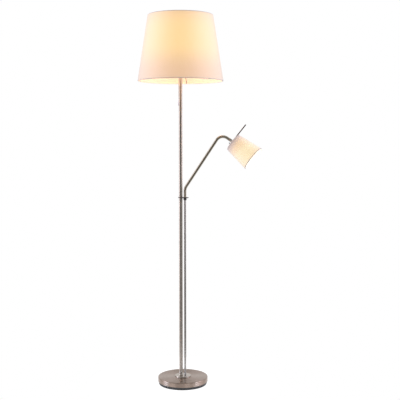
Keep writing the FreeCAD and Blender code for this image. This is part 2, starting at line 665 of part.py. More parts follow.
def reading_head():
    """The reading lamp, built along its own axis and tilted into place about the pivot."""
    frame = FreeCAD.Placement(PIVOT, FreeCAD.Rotation(ACROSS, 90 + HEAD_DIP))
    # The rod's direction and its line's nearest point to the pivot, in the head's own frame.
    along_rod = frame.Rotation.inverted().multVec(direction(ROD_ELEVATION))
    nearest = frame.Rotation.inverted().multVec(direction(ROD_ELEVATION - 90)) * ROD_OFFSET
    socket = nearest + along_rod * 2.0
    rod_start = nearest + along_rod * (TONGUE_SIDE + 3 * RUNNING)
    rod_end = nearest + along_rod * (ROD_LENGTH - ROD_R)
    rod = fused(bar(rod_start, rod_end, ROD_R), Part.makeSphere(ROD_R, rod_end), bar(socket, rod_end, 1.5))
    knuckle = head_knuckle().cut(bar(socket, rod_end, 1.5 + RUNNING))

    cap_low = HEAD_TOP + CAP_HEIGHT
    edge = (CAP_R - 2.5, HEAD_TOP + 2.5)
    cap = turned([
        (THREAD_R + RUNNING, HEAD_TOP),
        (edge[0], HEAD_TOP),
        (corner(2.5, edge, -45), (CAP_R, edge[1])),
        (CAP_R, cap_low),
        (CAP_R - 1, cap_low),
        (CAP_R - 1, HEAD_TOP + 1.2),
        (THREAD_R + RUNNING, HEAD_TOP + 1.2),
    ])
    neck_r = 3.2
    neck_top = HEAD_TOP - 3.0
    window = cylinder(neck_r + RUNNING, 0, HEAD_TOP + 3, SWITCH_OFFSET)
    switch = fused(
        cylinder(4.4, HEAD_TOP + 1.2, HEAD_TOP + 9.0, SWITCH_OFFSET),
        cylinder(neck_r, neck_top, HEAD_TOP + 2, SWITCH_OFFSET),
    )
    button_low = HEAD_TOP + 4.0
    bore = cylinder(BUTTON_R + RUNNING, 0, button_low + SWITCH_TRAVEL + CLEARANCE, SWITCH_OFFSET)
    switch = switch.cut(bore)
    switch_nut = nut(8.5, neck_r, HEAD_TOP - 1.6, HEAD_TOP, SWITCH_OFFSET)
    button = fused(
        cylinder(BUTTON_R, BUTTON_TIP + BUTTON_R, button_low, SWITCH_OFFSET),
        Part.makeSphere(BUTTON_R, V(SWITCH_OFFSET, 0, BUTTON_TIP + BUTTON_R)),
    )
    for piece in (window, switch, switch_nut, button):
        piece.rotate(V(0, 0, 0), UP, SWITCH_AZIMUTH)
    cap = cap.cut(window)

    shoulder = 42.0
    holder_top = 52.0
    holder, contacts = lampholder(STEM_LOW - 3.5, shoulder, holder_top, 12.5, 13.9, 7.4,
                                  SMALL_BULB_CONTACT - 1.5)
    holder = holder.cut(cylinder(THREAD_R + RUNNING, 0, STEM_LOW))
    glass, bulb_cap = bulb(
        SMALL_BULB_CONTACT, SMALL_BULB_LENGTH, SMALL_BULB_R, 6.9, 25.0, 6.2, holder_top + 0.5)

    shade_low = HEAD_TOP
    shade_high = HEAD_TOP + READING_SHADE_LENGTH
    slope = (READING_SHADE_MOUTH_R - READING_SHADE_TOP_R) / READING_SHADE_LENGTH
    wires = []
    for z in (shade_low + 2, shade_high - 2):
        inner_r = READING_SHADE_TOP_R + slope * (z - shade_low) - READING_WALL
        wires.append(Part.makeTorus(inner_r - READING_WIRE_R - 0.2, READING_WIRE_R, V(0, 0, z), UP))
    rim_r = READING_SHADE_TOP_R - READING_WALL - 2 * READING_WIRE_R - 0.6
    ring, struts = fitter(14.0, 18.0, shoulder, 1.2, rim_r, shade_low + 2.6, READING_WIRE_R, (60, 180, 300))
    pieces = {
        "head_knuckle": knuckle,
        "aim_rod": rod,
        "head_cap": cap,
        "head_nut": nut(13.0, THREAD_R, HEAD_TOP + 1.2, HEAD_TOP + 4.2),
        "reading_switch": switch,
        "reading_switch_nut": switch_nut,
        "reading_button": button,
        "reading_lampholder": holder,
        "reading_contacts": contacts,
        "reading_retaining_ring": retaining_ring(13.95, 19.0, shoulder + 1.25, 6.0),
        "reading_bulb_glass": glass,
        "reading_bulb_cap": bulb_cap,
        "reading_shade": cone_wall(
            shade_low, shade_high, READING_SHADE_TOP_R, READING_SHADE_MOUTH_R, READING_WALL),
        "reading_shade_wires": Part.makeCompound(wires),
        "reading_fitter_ring": ring,
        "reading_fitter_struts": struts,
    }
    return {name: placed(piece, frame) for name, piece in pieces.items()}


def main():
    """Writes every piece of the lamp, one file each."""
    os.makedirs("parts", exist_ok=True)
    pieces = {}
    for section in (base, leads, tubes, collar, arm, reading_head, main_lamp, pull_chain, main_shade):
        pieces.update(section())
    for name, piece in pieces.items():
        if not piece.isValid() or any(solid.Volume <= 0 for solid in piece.Solids) or not piece.Solids:
            raise ValueError(name + " is not a sound solid")
        piece.exportStep("parts/" + name + ".step")
    print(len(pieces), "pieces")


main()
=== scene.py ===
"""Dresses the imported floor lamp: the surfaces, cloth, metal and light that the solids carry.

Sizes in the classes are in millimetres; meshes are in metres, in the frame of the solids.
"""
import logging
import math
from dataclasses import dataclass
from enum import Enum
from functools import cache
from typing import ClassVar

import bmesh
import bpy
import numpy as np
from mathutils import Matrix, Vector


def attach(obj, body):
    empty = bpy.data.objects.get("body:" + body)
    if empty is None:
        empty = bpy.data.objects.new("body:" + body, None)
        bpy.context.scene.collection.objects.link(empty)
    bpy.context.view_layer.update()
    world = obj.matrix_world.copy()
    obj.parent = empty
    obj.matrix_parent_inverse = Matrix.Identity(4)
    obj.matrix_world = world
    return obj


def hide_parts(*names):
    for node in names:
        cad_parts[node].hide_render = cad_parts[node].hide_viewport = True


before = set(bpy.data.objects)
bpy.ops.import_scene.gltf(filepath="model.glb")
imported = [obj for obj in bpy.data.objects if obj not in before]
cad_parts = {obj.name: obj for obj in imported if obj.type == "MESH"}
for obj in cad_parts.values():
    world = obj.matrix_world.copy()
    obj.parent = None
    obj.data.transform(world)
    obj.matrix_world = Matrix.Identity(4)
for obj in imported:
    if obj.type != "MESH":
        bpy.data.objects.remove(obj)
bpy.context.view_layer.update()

LOG = logging.getLogger("lamp")
MM = 0.001
SHARP_FORM = 38.0
SHARP_COPY = 32.0
Colour = tuple[float, float, float]
Point = tuple[float, float, float]


class Slot(Enum):
    """The record's material slots."""

    NICKEL = "satin_nickel"
    ZINC = "zinc_steel"
    IRON = "black_iron"
    FOAM = "black_foam"
    PLASTIC = "black_plastic"
    SHEATH = "lead_sheath"
    MOULDING = "moulding"
    BRASS = "brass"
    WIRE = "frame_wire"
    CLOTH = "shade_fabric"
    OPAL = "opal_glass"


class Lay(Enum):
    """Which way the fine lines of a metal finish run."""

    MAP = "along the first direction of the piece's own map"
    GRAIN = "in no direction, as a bead blast leaves it"


# Node trees


class Wiring:
    """Adds nodes to a tree. An input is given as a value or as another node's socket."""

    def __init__(self, tree: bpy.types.NodeTree) -> None:
        """Keeps the tree that the nodes go into."""
        self.tree = tree

    @classmethod
    def fresh(cls, owner: bpy.types.ID) -> "Wiring":
        """Turns on the nodes of a material or a world and takes its first ones out.

        Args:
            owner: the material or world.

        Returns:
            The wiring of its empty tree.
        """
        owner.use_nodes = True
        owner.node_tree.nodes.clear()
        return cls(owner.node_tree)

    def put(self, socket: bpy.types.NodeSocket, value: object) -> None:
        """Links an input to another node's socket or sets its value; a colour may leave out its alpha.

        Args:
            socket: the input.
            value: a socket or a value.
        """
        if isinstance(value, bpy.types.NodeSocket):
            self.tree.links.new(value, socket)
        elif socket.type == "RGBA" and len(value) == 3:
            socket.default_value = (*value, 1.0)
        else:
            socket.default_value = value

    def feed(self, node: bpy.types.Node, **values: object) -> None:
        """Sets a node's inputs by name, with an underscore for a space."""
        for key, value in values.items():
            self.put(node.inputs[key.replace("_", " ")], value)

    def add(self, kind: str, inputs: dict | None = None, **settings: object) -> bpy.types.Node:
        """Adds one node.

        Args:
            kind: the node's type without the leading "ShaderNode".
            inputs: input name or index to a value or a socket.
            settings: the node's own properties.

        Returns:
            The node.
        """
        node = self.tree.nodes.new(kind if kind.startswith("Node") else "ShaderNode" + kind)
        for key, value in settings.items():
            setattr(node, key, value)
        for key, value in (inputs or {}).items():
            self.put(node.inputs[key], value)
        return node

    def group(self, tree: bpy.types.NodeTree, inputs: dict) -> bpy.types.NodeOutputs:
        """The outputs of a node group that is placed with its own values."""
        return self.add("Group", inputs, node_tree=tree).outputs

    def math(self, operation: str, first: object, second: object = 0.0,
             third: object = 0.0) -> bpy.types.NodeSocket:
        """A Math node's result."""
        return self.add("Math", {0: first, 1: second, 2: third}, operation=operation).outputs[0]

    def vector(self, operation: str, first: object, second: object) -> bpy.types.NodeSocket:
        """A Vector Math node's vector."""
        return self.add("VectorMath", {0: first, 1: second}, operation=operation).outputs["Vector"]

    def measure(self, operation: str, first: object, second: object = (0, 0, 0)) -> bpy.types.NodeSocket:
        """A Vector Math node's number, such as a vector's length."""
        return self.add("VectorMath", {0: first, 1: second}, operation=operation).outputs["Value"]

    def noise(self, vector: object, scale: object = 1.0, detail: float = 2.0,
              rough: float = 0.5) -> bpy.types.NodeSocket:
        """A noise texture's value."""
        inputs = {"Vector": vector, "Scale": scale, "Detail": detail, "Roughness": rough}
        return self.add("TexNoise", inputs).outputs[0]

    def ramp(self, value: object, stops: list[tuple[float, Colour]]) -> bpy.types.NodeSocket:
        """A colour ramp's colour at a value.

        Args:
            value: the socket that drives the ramp.
            stops: (place, colour) pairs, in order.

        Returns:
            The colour socket.
        """
        node = self.add("ValToRGB", {0: value})
        node.color_ramp.interpolation = "EASE"
        while len(node.color_ramp.elements) < len(stops):
            node.color_ramp.elements.new(0.5)
        for element, (place, colour) in zip(node.color_ramp.elements, stops):
            element.position = place
            element.color = (*colour, 1)
        return node.outputs[0]

    def blend(self, share: object, first: object, second: object) -> bpy.types.NodeSocket:
        """Two colours mixed by a share from 0 to 1."""
        return self.add("Mix", {0: share, 6: first, 7: second}, data_type="RGBA").outputs[2]

    def mix(self, share: object, first: object, second: object) -> bpy.types.NodeSocket:
        """Two numbers mixed by a share from 0 to 1."""
        return self.add("Mix", {0: share, 2: first, 3: second}, data_type="FLOAT").outputs[0]

    def between(self, value: object, low: float, high: float, start: object = 0.0, end: object = 1.0,
                kind: str = "SMOOTHSTEP") -> bpy.types.NodeSocket:
        """A value carried from one range to another and held at its ends."""
        inputs = {0: value, 1: low, 2: high, 3: start, 4: end}
        return self.add("MapRange", inputs, interpolation_type=kind).outputs[0]

    def bump(self, height: object, depth: float, strength: float) -> bpy.types.NodeSocket:
        """The normal that a height of 0 to 1 gives, over a depth in metres."""
        return self.add("Bump", {"Strength": strength, "Distance": depth, "Height": height}).outputs[0]


class Effects:
    """The node groups that several finishes share, each made once."""

    @staticmethod
    def begin(name: str, values: dict[str, float], results: tuple[str, ...]) -> tuple:
        """A new group that takes a vector and numbers, and gives numbers.

        Args:
            name: the group's name.
            values: the name and usual value of each number that it takes.
            results: the name of each number that it gives.

        Returns:
            The wiring, what comes in and the node that takes the results.
        """
        tree = bpy.data.node_groups.new(name, "ShaderNodeTree")
        tree.interface.new_socket("Vector", in_out="INPUT", socket_type="NodeSocketVector")
        for label, usual in values.items():
            socket = tree.interface.new_socket(label, in_out="INPUT", socket_type="NodeSocketFloat")
            socket.default_value = usual
        for label in results:
            tree.interface.new_socket(label, in_out="OUTPUT", socket_type="NodeSocketFloat")
        wire = Wiring(tree)
        return wire, wire.add("NodeGroupInput").outputs, wire.add("NodeGroupOutput")

    @staticmethod
    @cache
    def fine_lines() -> bpy.types.NodeTree:
        """Fine parallel lines, as a brush leaves them, from noise drawn out along the first axis.

        Returns:
            The group.
        """
        wire, given, end = Effects.begin(
            "fine lines", {"Lines per metre": 5000.0, "Streaks per metre": 40.0}, ("Height", "Band"))
        parts = wire.add("SeparateXYZ", {0: given["Vector"]}).outputs
        along = wire.math("MULTIPLY", parts[0], given["Streaks per metre"])
        across = wire.math("MULTIPLY", parts[1], given["Lines per metre"])
        drawn = wire.add("CombineXYZ", {0: along, 1: across, 2: parts[2]}).outputs[0]
        wide = wire.vector("MULTIPLY", drawn, (0.4, 0.035, 1.0))
        wire.feed(end, Height=wire.noise(drawn, rough=0.6), Band=wire.noise(wide, 1.0, 3.0, 0.55))
        return wire.tree

    @staticmethod
    @cache
    def marks() -> bpy.types.NodeTree:
        """Soft cloudy marks from handling and dust, from noise of two sizes.

        Returns:
            The group.
        """
        wire, given, end = Effects.begin("handling marks", {"Marks per metre": 25.0}, ("Mask",))
        often = given["Marks per metre"]
        cloud = wire.noise(given["Vector"], often, 4.0, 0.6)
        speck = wire.noise(given["Vector"], wire.math("MULTIPLY", often, 14.0))
        both = wire.math("MULTIPLY_ADD", speck, 0.25, wire.math("MULTIPLY", cloud, 0.75))
        wire.feed(end, Mask=wire.between(both, 0.36, 0.64))
        return wire.tree

    @staticmethod
    @cache
    def weave() -> bpy.types.NodeTree:
        """A plain weave on a map in metres: warp and weft cross over and under by turns.

        A thread's height is |sin| of the place across it. Which thread is on top follows the product
        of the two cosines, and thicker threads run here and there both ways.

        Returns:
            The group.
        """
        wire, given, end = Effects.begin(
            "plain weave", {"Threads per metre": 1100.0}, ("Height", "Slub", "Pores"))
        vector = given["Vector"]
        shift = wire.math("MULTIPLY", wire.math("SUBTRACT", wire.noise(vector, 260.0), 0.5), 1.6)
        parts = wire.add("SeparateXYZ", {0: vector}).outputs
        pitch = wire.math("MULTIPLY", given["Threads per metre"], math.pi)
        waves = [wire.math("MULTIPLY_ADD", parts[axis], pitch, shift) for axis in (0, 1)]
        warp, weft = (wire.math("ABSOLUTE", wire.math("SINE", wave)) for wave in waves)
        turn = wire.math("MULTIPLY", *(wire.math("COSINE", wave) for wave in waves))
        mixed = wire.mix(wire.between(turn, -0.35, 0.35), weft, warp)
        gaps = (wire.math("SUBTRACT", 1.0, thread) for thread in (warp, weft))
        pores = wire.math("POWER", wire.math("MULTIPLY", *gaps), 0.8)
        stretches = ((18.0, 900.0, 1.0), (900.0, 14.0, 1.0))
        drawn = (wire.noise(wire.vector("MULTIPLY", vector, stretch)) for stretch in stretches)
        slub = wire.math("MAXIMUM", *(wire.between(noise, 0.56, 0.76) for noise in drawn))
        wire.feed(end, Height=wire.math("MULTIPLY_ADD", slub, 0.5, mixed), Slub=slub, Pores=pores)
        return wire.tree

    @staticmethod
    @cache
    def painted_lamplight() -> bpy.types.NodeTree:
        """The strength of the painted glow that stands in for a bulb's light on the wall round it.

        The strength is r * w^2 / d^3, with r the distance from the axis, d the distance from the
        bulb and w the wall's distance at the bulb's height. It is 1 beside the bulb and falls off
        up and down the wall, and a power below 1 softens it as the cloth's lining does.

        Returns:
            The group.
        """
        wire, given, end = Effects.begin(
            "lamplight on the wall", {"Wall distance": 0.15, "Softness": 0.35}, ("Strength",))
        parts = wire.add("SeparateXYZ", {0: given["Vector"]}).outputs
        flat = wire.add("CombineXYZ", {0: parts[0], 1: parts[1], 2: 0.0}).outputs[0]
        away = wire.math("MAXIMUM", wire.measure("LENGTH", given["Vector"]), 0.01)
        wall = given["Wall distance"]
        lit = wire.math("MULTIPLY", wire.measure("LENGTH", flat), wire.math("MULTIPLY", wall, wall))
        strength = wire.math("DIVIDE", lit, wire.math("POWER", away, 3.0))
        wire.feed(end, Strength=wire.math("POWER", strength, given["Softness"]))
        return wire.tree


# Kinds of finish


def toned(colour: Colour, share: float) -> Colour:
    """A colour times a share, held at full white."""
    return tuple(min(1.0, share * part) for part in colour)


class Finish:
    """A finish that makes its material once."""

    name: str
    slot: Slot
    sampled = "NONE"
    _made: ClassVar[dict[str, bpy.types.Material]] = {}

    def material(self) -> bpy.types.Material:
        """The finish's material, made at its first use.

        Returns:
            The material.
        """
        if self.name not in Finish._made:
            made = bpy.data.materials.new(self.name)
            wire = Wiring.fresh(made)
            shader = wire.add("BsdfPrincipled")
            wire.add("OutputMaterial", {"Surface": shader.outputs[0]})
            made.cycles.emission_sampling = self.sampled
            self.wire(wire, shader)
            Finish._made[self.name] = made
        return Finish._made[self.name]

    def wire(self, wire: Wiring, shader: bpy.types.Node) -> None:
        """Sets the shader's sockets and the nodes behind them."""
        raise NotImplementedError


@dataclass(frozen=True)
class Brushed(Finish):
    """Plated or plain metal under a fine brush or blast."""

    name: str
    slot: Slot
    colour: Colour
    roughness: float
    lay: Lay = Lay.GRAIN
    lines: float = 5200.0
    depth: float = 0.000004
    stretch: float = 0.65

    def wire(self, wire: Wiring, shader: bpy.types.Node) -> None:
        """Lines or grain in the normal, and bands and handling marks in the tone and gloss.

        Args:
            wire: the material's wiring.
            shader: its surface.
        """
        place = wire.add("TexCoord").outputs
        stretch, turn = (self.stretch, 0.25) if self.lay is Lay.MAP else (0.0, 0.0)
        if self.lay is Lay.MAP:
            lines = wire.group(Effects.fine_lines(), {
                "Vector": place["UV"], "Lines per metre": self.lines, "Streaks per metre": 26.0})
            height, band = lines["Height"], lines["Band"]
        else:
            height = wire.noise(place["Object"], self.lines)
            band = wire.noise(place["Object"], 130.0, 3.0)
        mask = wire.group(Effects.marks(), {"Vector": place["Object"], "Marks per metre": 22.0})["Mask"]
        share = wire.between(band, 0.3, 0.7, kind="LINEAR")
        tone = wire.blend(share, toned(self.colour, 0.86), toned(self.colour, 1.08))
        worn = wire.blend(wire.math("MULTIPLY", mask, 0.18), tone, toned(self.colour, 0.8))
        gloss = wire.math("MULTIPLY_ADD", band, 0.10, self.roughness - 0.05)
        gloss = wire.math("MULTIPLY_ADD", mask, 0.05, gloss)
        wire.feed(shader, Base_Color=worn, Metallic=1.0, Roughness=gloss, Anisotropic=stretch,
                  Anisotropic_Rotation=turn, Normal=wire.bump(height, self.depth, 0.6))


@dataclass(frozen=True)
class Solid(Finish):
    """A moulded, painted or foamed finish: one colour, with grain, clouding and dust."""

    name: str
    slot: Slot
    colour: Colour
    roughness: float
    grain: float
    depth: float = 0.00003
    clouding: float = 0.12
    coat: float = 0.0

    def wire(self, wire: Wiring, shader: bpy.types.Node) -> None:
        """Grain in the normal, and handling marks in the colour and gloss.

        Args:
            wire: the material's wiring.
            shader: its surface.
        """
        place = wire.add("TexCoord").outputs["Object"]
        mask = wire.group(Effects.marks(), {"Vector": place, "Marks per metre": 30.0})["Mask"]
        pale = tuple(min(1.0, 0.8 * part + 0.06) for part in self.colour)
        tone = wire.blend(wire.math("MULTIPLY", mask, self.clouding), self.colour, pale)
        gloss = wire.math("MULTIPLY_ADD", mask, 0.12, self.roughness - 0.06)
        grain = wire.noise(place, self.grain, rough=0.6)
        wire.feed(shader, Base_Color=tone, Roughness=gloss, Coat_Weight=self.coat,
                  Normal=wire.bump(grain, self.depth, 0.5))


@dataclass(frozen=True)
class Opal(Finish):
    """A lit bulb of white glass: brightest round its middle, a little dimmer at its neck."""

    name: str
    centre: Point
    radius: float
    strength: float
    sampled: str
    slot: Slot = Slot.OPAL

    def wire(self, wire: Wiring, shader: bpy.types.Node) -> None:
        """Emission that falls off from the globe's middle towards the neck.

        Args:
            wire: the material's wiring.
            shader: its surface.
        """
        offset = wire.vector("SUBTRACT", wire.add("TexCoord").outputs["Object"], self.centre)
        share = wire.between(wire.measure("LENGTH", offset), 0.9 * self.radius, 1.9 * self.radius)
        glow = wire.blend(share, (1.0, 0.50, 0.15), (0.62, 0.28, 0.08))
        wire.feed(shader, Base_Color=(0.95, 0.92, 0.86), Roughness=0.32, Coat_Weight=0.4,
                  Emission_Color=glow, Emission_Strength=self.strength)


@dataclass(frozen=True)
class PaintedGlowCloth(Finish):
    """White woven cloth on a stiff lining, with a painted glow: emission that stands in for the bulb's light
    coming through it.

    The wall runs from low to high on the shade's axis, counted from the light's middle. The painted glow
    grows from nothing, or from low_rim at the low rim, between the fold's two distances from a rim.
    """

    name: str
    bulb: Point
    turn: float
    wall: float
    low: float
    high: float
    glow: tuple[Colour, Colour, Colour]
    fold: tuple[float, float]
    low_rim: float = 0.0
    colour: Colour = (0.88, 0.865, 0.89)
    softness: float = 0.35
    slot: Slot = Slot.CLOTH

    def wire(self, wire: Wiring, shader: bpy.types.Node) -> None:
        """The weave in the colour and normal, and a painted glow for the bulb's light coming through between
        the rims.

        Args:
            wire: the material's wiring.
            shader: its surface.
        """
        place = wire.add("TexCoord").outputs
        weave = wire.group(Effects.weave(), {"Vector": place["UV"], "Threads per metre": 1150.0})
        local = wire.add("Mapping", {"Vector": place["Object"], "Location": self.bulb,
                                     "Rotation": (0.0, self.turn, 0.0)}, vector_type="TEXTURE").outputs[0]
        # Painted glow: emission strongest beside the bulb, standing in for its light through the cloth.
        light = wire.group(Effects.painted_lamplight(), {
            "Vector": local, "Wall distance": self.wall * MM, "Softness": self.softness})
        along = wire.add("SeparateXYZ", {0: local}).outputs[2]
        near, far = self.fold
        inside = wire.math(
            "MULTIPLY",
            wire.between(along, (self.low + near) * MM, (self.low + far) * MM, self.low_rim),
            wire.between(along, (self.high - far) * MM, (self.high - near) * MM, 1.0, 0.0))
        thread = wire.math("MULTIPLY_ADD", weave["Slub"], -0.10,
                           wire.math("MULTIPLY_ADD", weave["Pores"], 0.10, 0.99))
        hue = wire.ramp(light["Strength"], list(zip((0.52, 0.72, 1.0), self.glow)))
        glow = wire.blend(wire.math("MULTIPLY", inside, thread), (0.02, 0.008, 0.0), hue)
        tone = self.colour
        for name, weight, share in (("Slub", 0.5, 0.9), ("Pores", 0.25, 0.75)):
            tone = wire.blend(wire.math("MULTIPLY", weave[name], weight), tone, toned(self.colour, share))
        # Outside the folds, at the rims, the base colour turns a darker grey and the painted glow stops.
        tone = wire.blend(inside, (0.60, 0.56, 0.60), tone)
        wire.feed(shader, Base_Color=tone, Roughness=0.85, Sheen_Weight=1.0, Sheen_Roughness=0.7,
                  Emission_Color=glow, Emission_Strength=1.0,
                  Normal=wire.bump(weave["Height"], 0.00012, 0.7))


# Shapes


@dataclass(frozen=True)
class Patch:
    """A grid of points that is closed round its first direction, with its map.

    The points are points[i, j], and across and along are the map's two coordinates at every corner.
    """

    points: np.ndarray
    across: np.ndarray
    along: np.ndarray
    closed: bool = True
    slots: np.ndarray | None = None

    def faces(self) -> tuple[np.ndarray, np.ndarray, np.ndarray]:
        """The grid's four-sided faces, each corner's place on the map and each face's material.

        Face (i, j) joins points (i, j), (i+1, j), (i+1, j+1) and (i, j+1), and a closed direction
        joins its last points to its first.

        Returns:
            Corner indices (n, 4), map places (n, 4, 2) and material indices (n,).
        """
        rounds, count = self.points.shape[:2]
        steps = count if self.closed else count - 1
        i, j = np.meshgrid(np.arange(rounds), np.arange(steps), indexing="ij")
        i, j = i.ravel(), j.ravel()
        corner_i = np.stack([i, i + 1, i + 1, i], axis=1)
        corner_j = np.stack([j, j, j + 1, j + 1], axis=1)
        flat = np.stack([self.across[corner_i], self.along[corner_j]], axis=2)
        index = (corner_i % rounds) * count + corner_j % count
        slots = np.zeros(len(index), int) if self.slots is None else self.slots[j]
        return index, flat, slots

    def welded(self) -> tuple[np.ndarray, ...]:
        """The surface with its poles merged and every face turned outward.

        Returns:
            The points, the corners' point indices, the faces' sizes, the corners' places on the map
            and the faces' material indices.
        """
        index, flat, slots = self.faces()
        points = self.points.reshape(-1, 3)
        _, first, same = np.unique(np.round(points, 7), axis=0, return_index=True, return_inverse=True)
        index = same.reshape(-1)[index]
        points = points[first]
        keep = index != np.roll(index, 1, axis=1)
        whole = keep.sum(axis=1) > 2
        index, flat, slots, keep = index[whole], flat[whole], slots[whole], keep[whole]
        a, b, c, d = (points[index[:, k]] for k in range(4))
        middle = points.mean(axis=0)
        volume = sum(np.einsum("ij,ij->i", p - middle, np.cross(q - middle, r - middle)).sum()
                     for p, q, r in ((a, b, c), (a, c, d)))
        if volume < 0:
            index, flat, keep = index[:, ::-1], flat[:, ::-1], keep[:, ::-1]
        return points, index[keep], keep.sum(axis=1), flat[keep], slots


def shown(name: str, mesh: bpy.types.Mesh, body: str, nodes: tuple[str, ...], finishes: list[Finish],
          sharp: float) -> bpy.types.Object:
    """Makes an object of a mesh that stands for one or more solids.

    Args:
        name: the object's name.
        mesh: its mesh.
        body: the solid body that it moves with.
        nodes: the solids that it stands for.
        finishes: one finish for each material index.
        sharp: edges steeper than this many degrees stay sharp.

    Returns:
        The object, riding on its body.
    """
    mesh.polygons.foreach_set("use_smooth", np.ones(len(mesh.polygons), bool))
    mesh.set_sharp_from_angle(angle=math.radians(sharp))
    for finish in finishes:
        mesh.materials.append(finish.material())
    made = bpy.data.objects.new(name, mesh)
    bpy.context.scene.collection.objects.link(made)
    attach(made, body)
    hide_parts(*nodes)
    LOG.info("%s: %d faces on %s", name, len(mesh.polygons), body)
    return made


def piece(name: str, body: str, nodes: tuple[str, ...], patches: list[Patch],
          *finishes: Finish) -> bpy.types.Object:
    """Makes one object from closed grids.

    Args:
        name: the piece's name.
        body: the solid body that it moves with.
        nodes: the solids that it stands for.
        patches: closed surfaces.
        finishes: one finish for each material index.

    Returns:
        The object.
    """
    points, loops, sizes, flat, slots = map(list, zip(*(patch.welded() for patch in patches)))
    starts = np.cumsum([0] + [len(part) for part in points])
    loops = [part + start for part, start in zip(loops, starts)]
    points, loops, sizes, flat, slots = map(np.concatenate, (points, loops, sizes, flat, slots))
    mesh = bpy.data.meshes.new(name)
    mesh.vertices.add(len(points))
    mesh.vertices.foreach_set("co", points.astype(np.float32).ravel())
    mesh.loops.add(len(loops))
    mesh.loops.foreach_set("vertex_index", loops.astype(np.int32))
    mesh.polygons.add(len(sizes))
    mesh.polygons.foreach_set("loop_start", np.concatenate([[0], np.cumsum(sizes)[:-1]]).astype(np.int32))
    mesh.polygons.foreach_set("material_index", slots.astype(np.int32))
    mesh.update(calc_edges=True)
    mesh.uv_layers.new(name="Flat").data.foreach_set("uv", flat.astype(np.float32).ravel())
    mesh.validate()
    return shown(name, mesh, body, nodes, list(finishes), SHARP_FORM)


def refined(body: str, finish: Finish, *nodes: str) -> None:
    """Puts copies of solids' meshes in their places, with triangles merged and round sides smooth.

    Args:
        body: the body that they belong to.
        finish: their finish.
        nodes: the solids' names.
    """
    for node in nodes:
        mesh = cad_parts[node].data.copy()
        work = bmesh.new()
        work.from_mesh(mesh)
        bmesh.ops.remove_doubles(work, verts=work.verts, dist=2e-6)
        work.to_mesh(mesh)
        work.free()
        mesh.materials.clear()
        shown(node + "_smooth", mesh, body, (node,), [finish], SHARP_COPY)


def dress(finish: Finish, *nodes: str) -> None:
    """Gives solids that keep their own mesh a finish.

    Args:
        finish: the finish.
        nodes: the solids' names.
    """
    for node in nodes:
        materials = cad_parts[node].data.materials
        materials.clear()
        materials.append(finish.material())
    LOG.info("%s: %s", finish.name, ", ".join(nodes))


def bend(radius: float, centre: tuple[float, float], start: float, end: float, steps: int) -> np.ndarray:
    """Points of a round corner: centre + radius * (cos a, sin a) for a from start to end in degrees."""
    turn = np.radians(np.linspace(start, end, steps + 1))
    return np.stack([centre[0] + radius * np.cos(turn), centre[1] + radius * np.sin(turn)], axis=1)


def profile(*parts: object) -> np.ndarray:
    """Joins points and runs of points into one (n, 2) profile of radius and height."""
    return np.concatenate([np.atleast_2d(np.asarray(part, float)) for part in parts])


def runs(line: np.ndarray, closed: bool) -> np.ndarray:
    """The distance in metres run at each point of a line, once more where it closes on itself."""
    ends = np.concatenate([line, line[:1]]) if closed else line
    return np.concatenate([[0.0], np.cumsum(np.linalg.norm(np.diff(ends, axis=0), axis=1))]) * MM


def once_round(steps: int) -> np.ndarray:
    """The angles of evenly spaced points once round, in radians."""
    return np.linspace(0, 2 * math.pi, steps, endpoint=False)


def swung(radius: np.ndarray, turn: np.ndarray, height: np.ndarray) -> np.ndarray:
    """Points (radius cos a, radius sin a, height) for every turn a, as one grid (turns, points, 3)."""
    turn = turn[:, None]
    return np.stack(np.broadcast_arrays(radius * np.cos(turn), radius * np.sin(turn), height), axis=2)


def girth(radius: float, steps: int) -> np.ndarray:
    """The map's places once round a radius in millimetres, in metres."""
    return np.linspace(0, 2 * math.pi * radius * MM, steps + 1)


def heading(elevation: float) -> np.ndarray:
    """The direction in the XZ plane at an elevation in degrees above +X."""
    angle = math.radians(elevation)
    return np.array([math.cos(angle), 0.0, math.sin(angle)])


@dataclass(frozen=True)
class Place:
    """Where a turned piece stands: its origin and its axis's dip below the horizon, -90 for upright."""

    origin: Point
    dip: float

    @property
    def turn(self) -> float:
        """The angle of the axis from upright, in radians."""
        return math.radians(90.0 + self.dip)

    @property
    def axis(self) -> np.ndarray:
        """The direction of the axis."""
        return np.array([math.sin(self.turn), 0.0, math.cos(self.turn)])

    def at(self, along: float) -> np.ndarray:
        """The point on the axis at a distance from the origin, in millimetres."""
        return np.array(self.origin) + along * self.axis

    def move(self, points: np.ndarray) -> np.ndarray:
        """Carries points from the piece's own axes to the lamp's.

        The first own axis is the axis turned a quarter towards the floor, the second is +Y and the
        third is the axis.

        Args:
            points: places on the piece's own axes, in millimetres.

        Returns:
            The places in the lamp's frame, in metres.
        """
        across = np.array([math.cos(self.turn), 0.0, -math.sin(self.turn)])
        ahead = np.array([0.0, 1.0, 0.0])
        moved = points[..., :1] * across + points[..., 1:2] * ahead + points[..., 2:3] * self.axis
        return (moved + np.array(self.origin)) * MM


MAIN_AXIS = Place((-8.5, 0.0, 0.0), -90.0)
SUPPORT_AXIS = Place((11.0, 0.0, 0.0), -90.0)
CHAIN_AXIS = Place((-21.6, 13.8, 0.0), -90.0)
HEAD_AXIS = Place((218.5, 0.0, 1064.5), 37.9)


def turned(line: np.ndarray, place: Place, around: int, closed: bool = False) -> Patch:
    """A piece turned on its axis: point (a, s) is (r(s) cos a, r(s) sin a, z(s)) for a once round.

    Args:
        line: the profile as radius and height, a loop, or from pole to pole where it isn't closed.
        place: where the axis stands.
        around: the number of steps round.
        closed: whether the profile is a loop.

    Returns:
        The surface.
    """
    points = swung(line[:, 0], once_round(around), line[:, 1])
    return Patch(place.move(points), girth(np.abs(line[:, 0]).max(), around), runs(line, closed), closed)


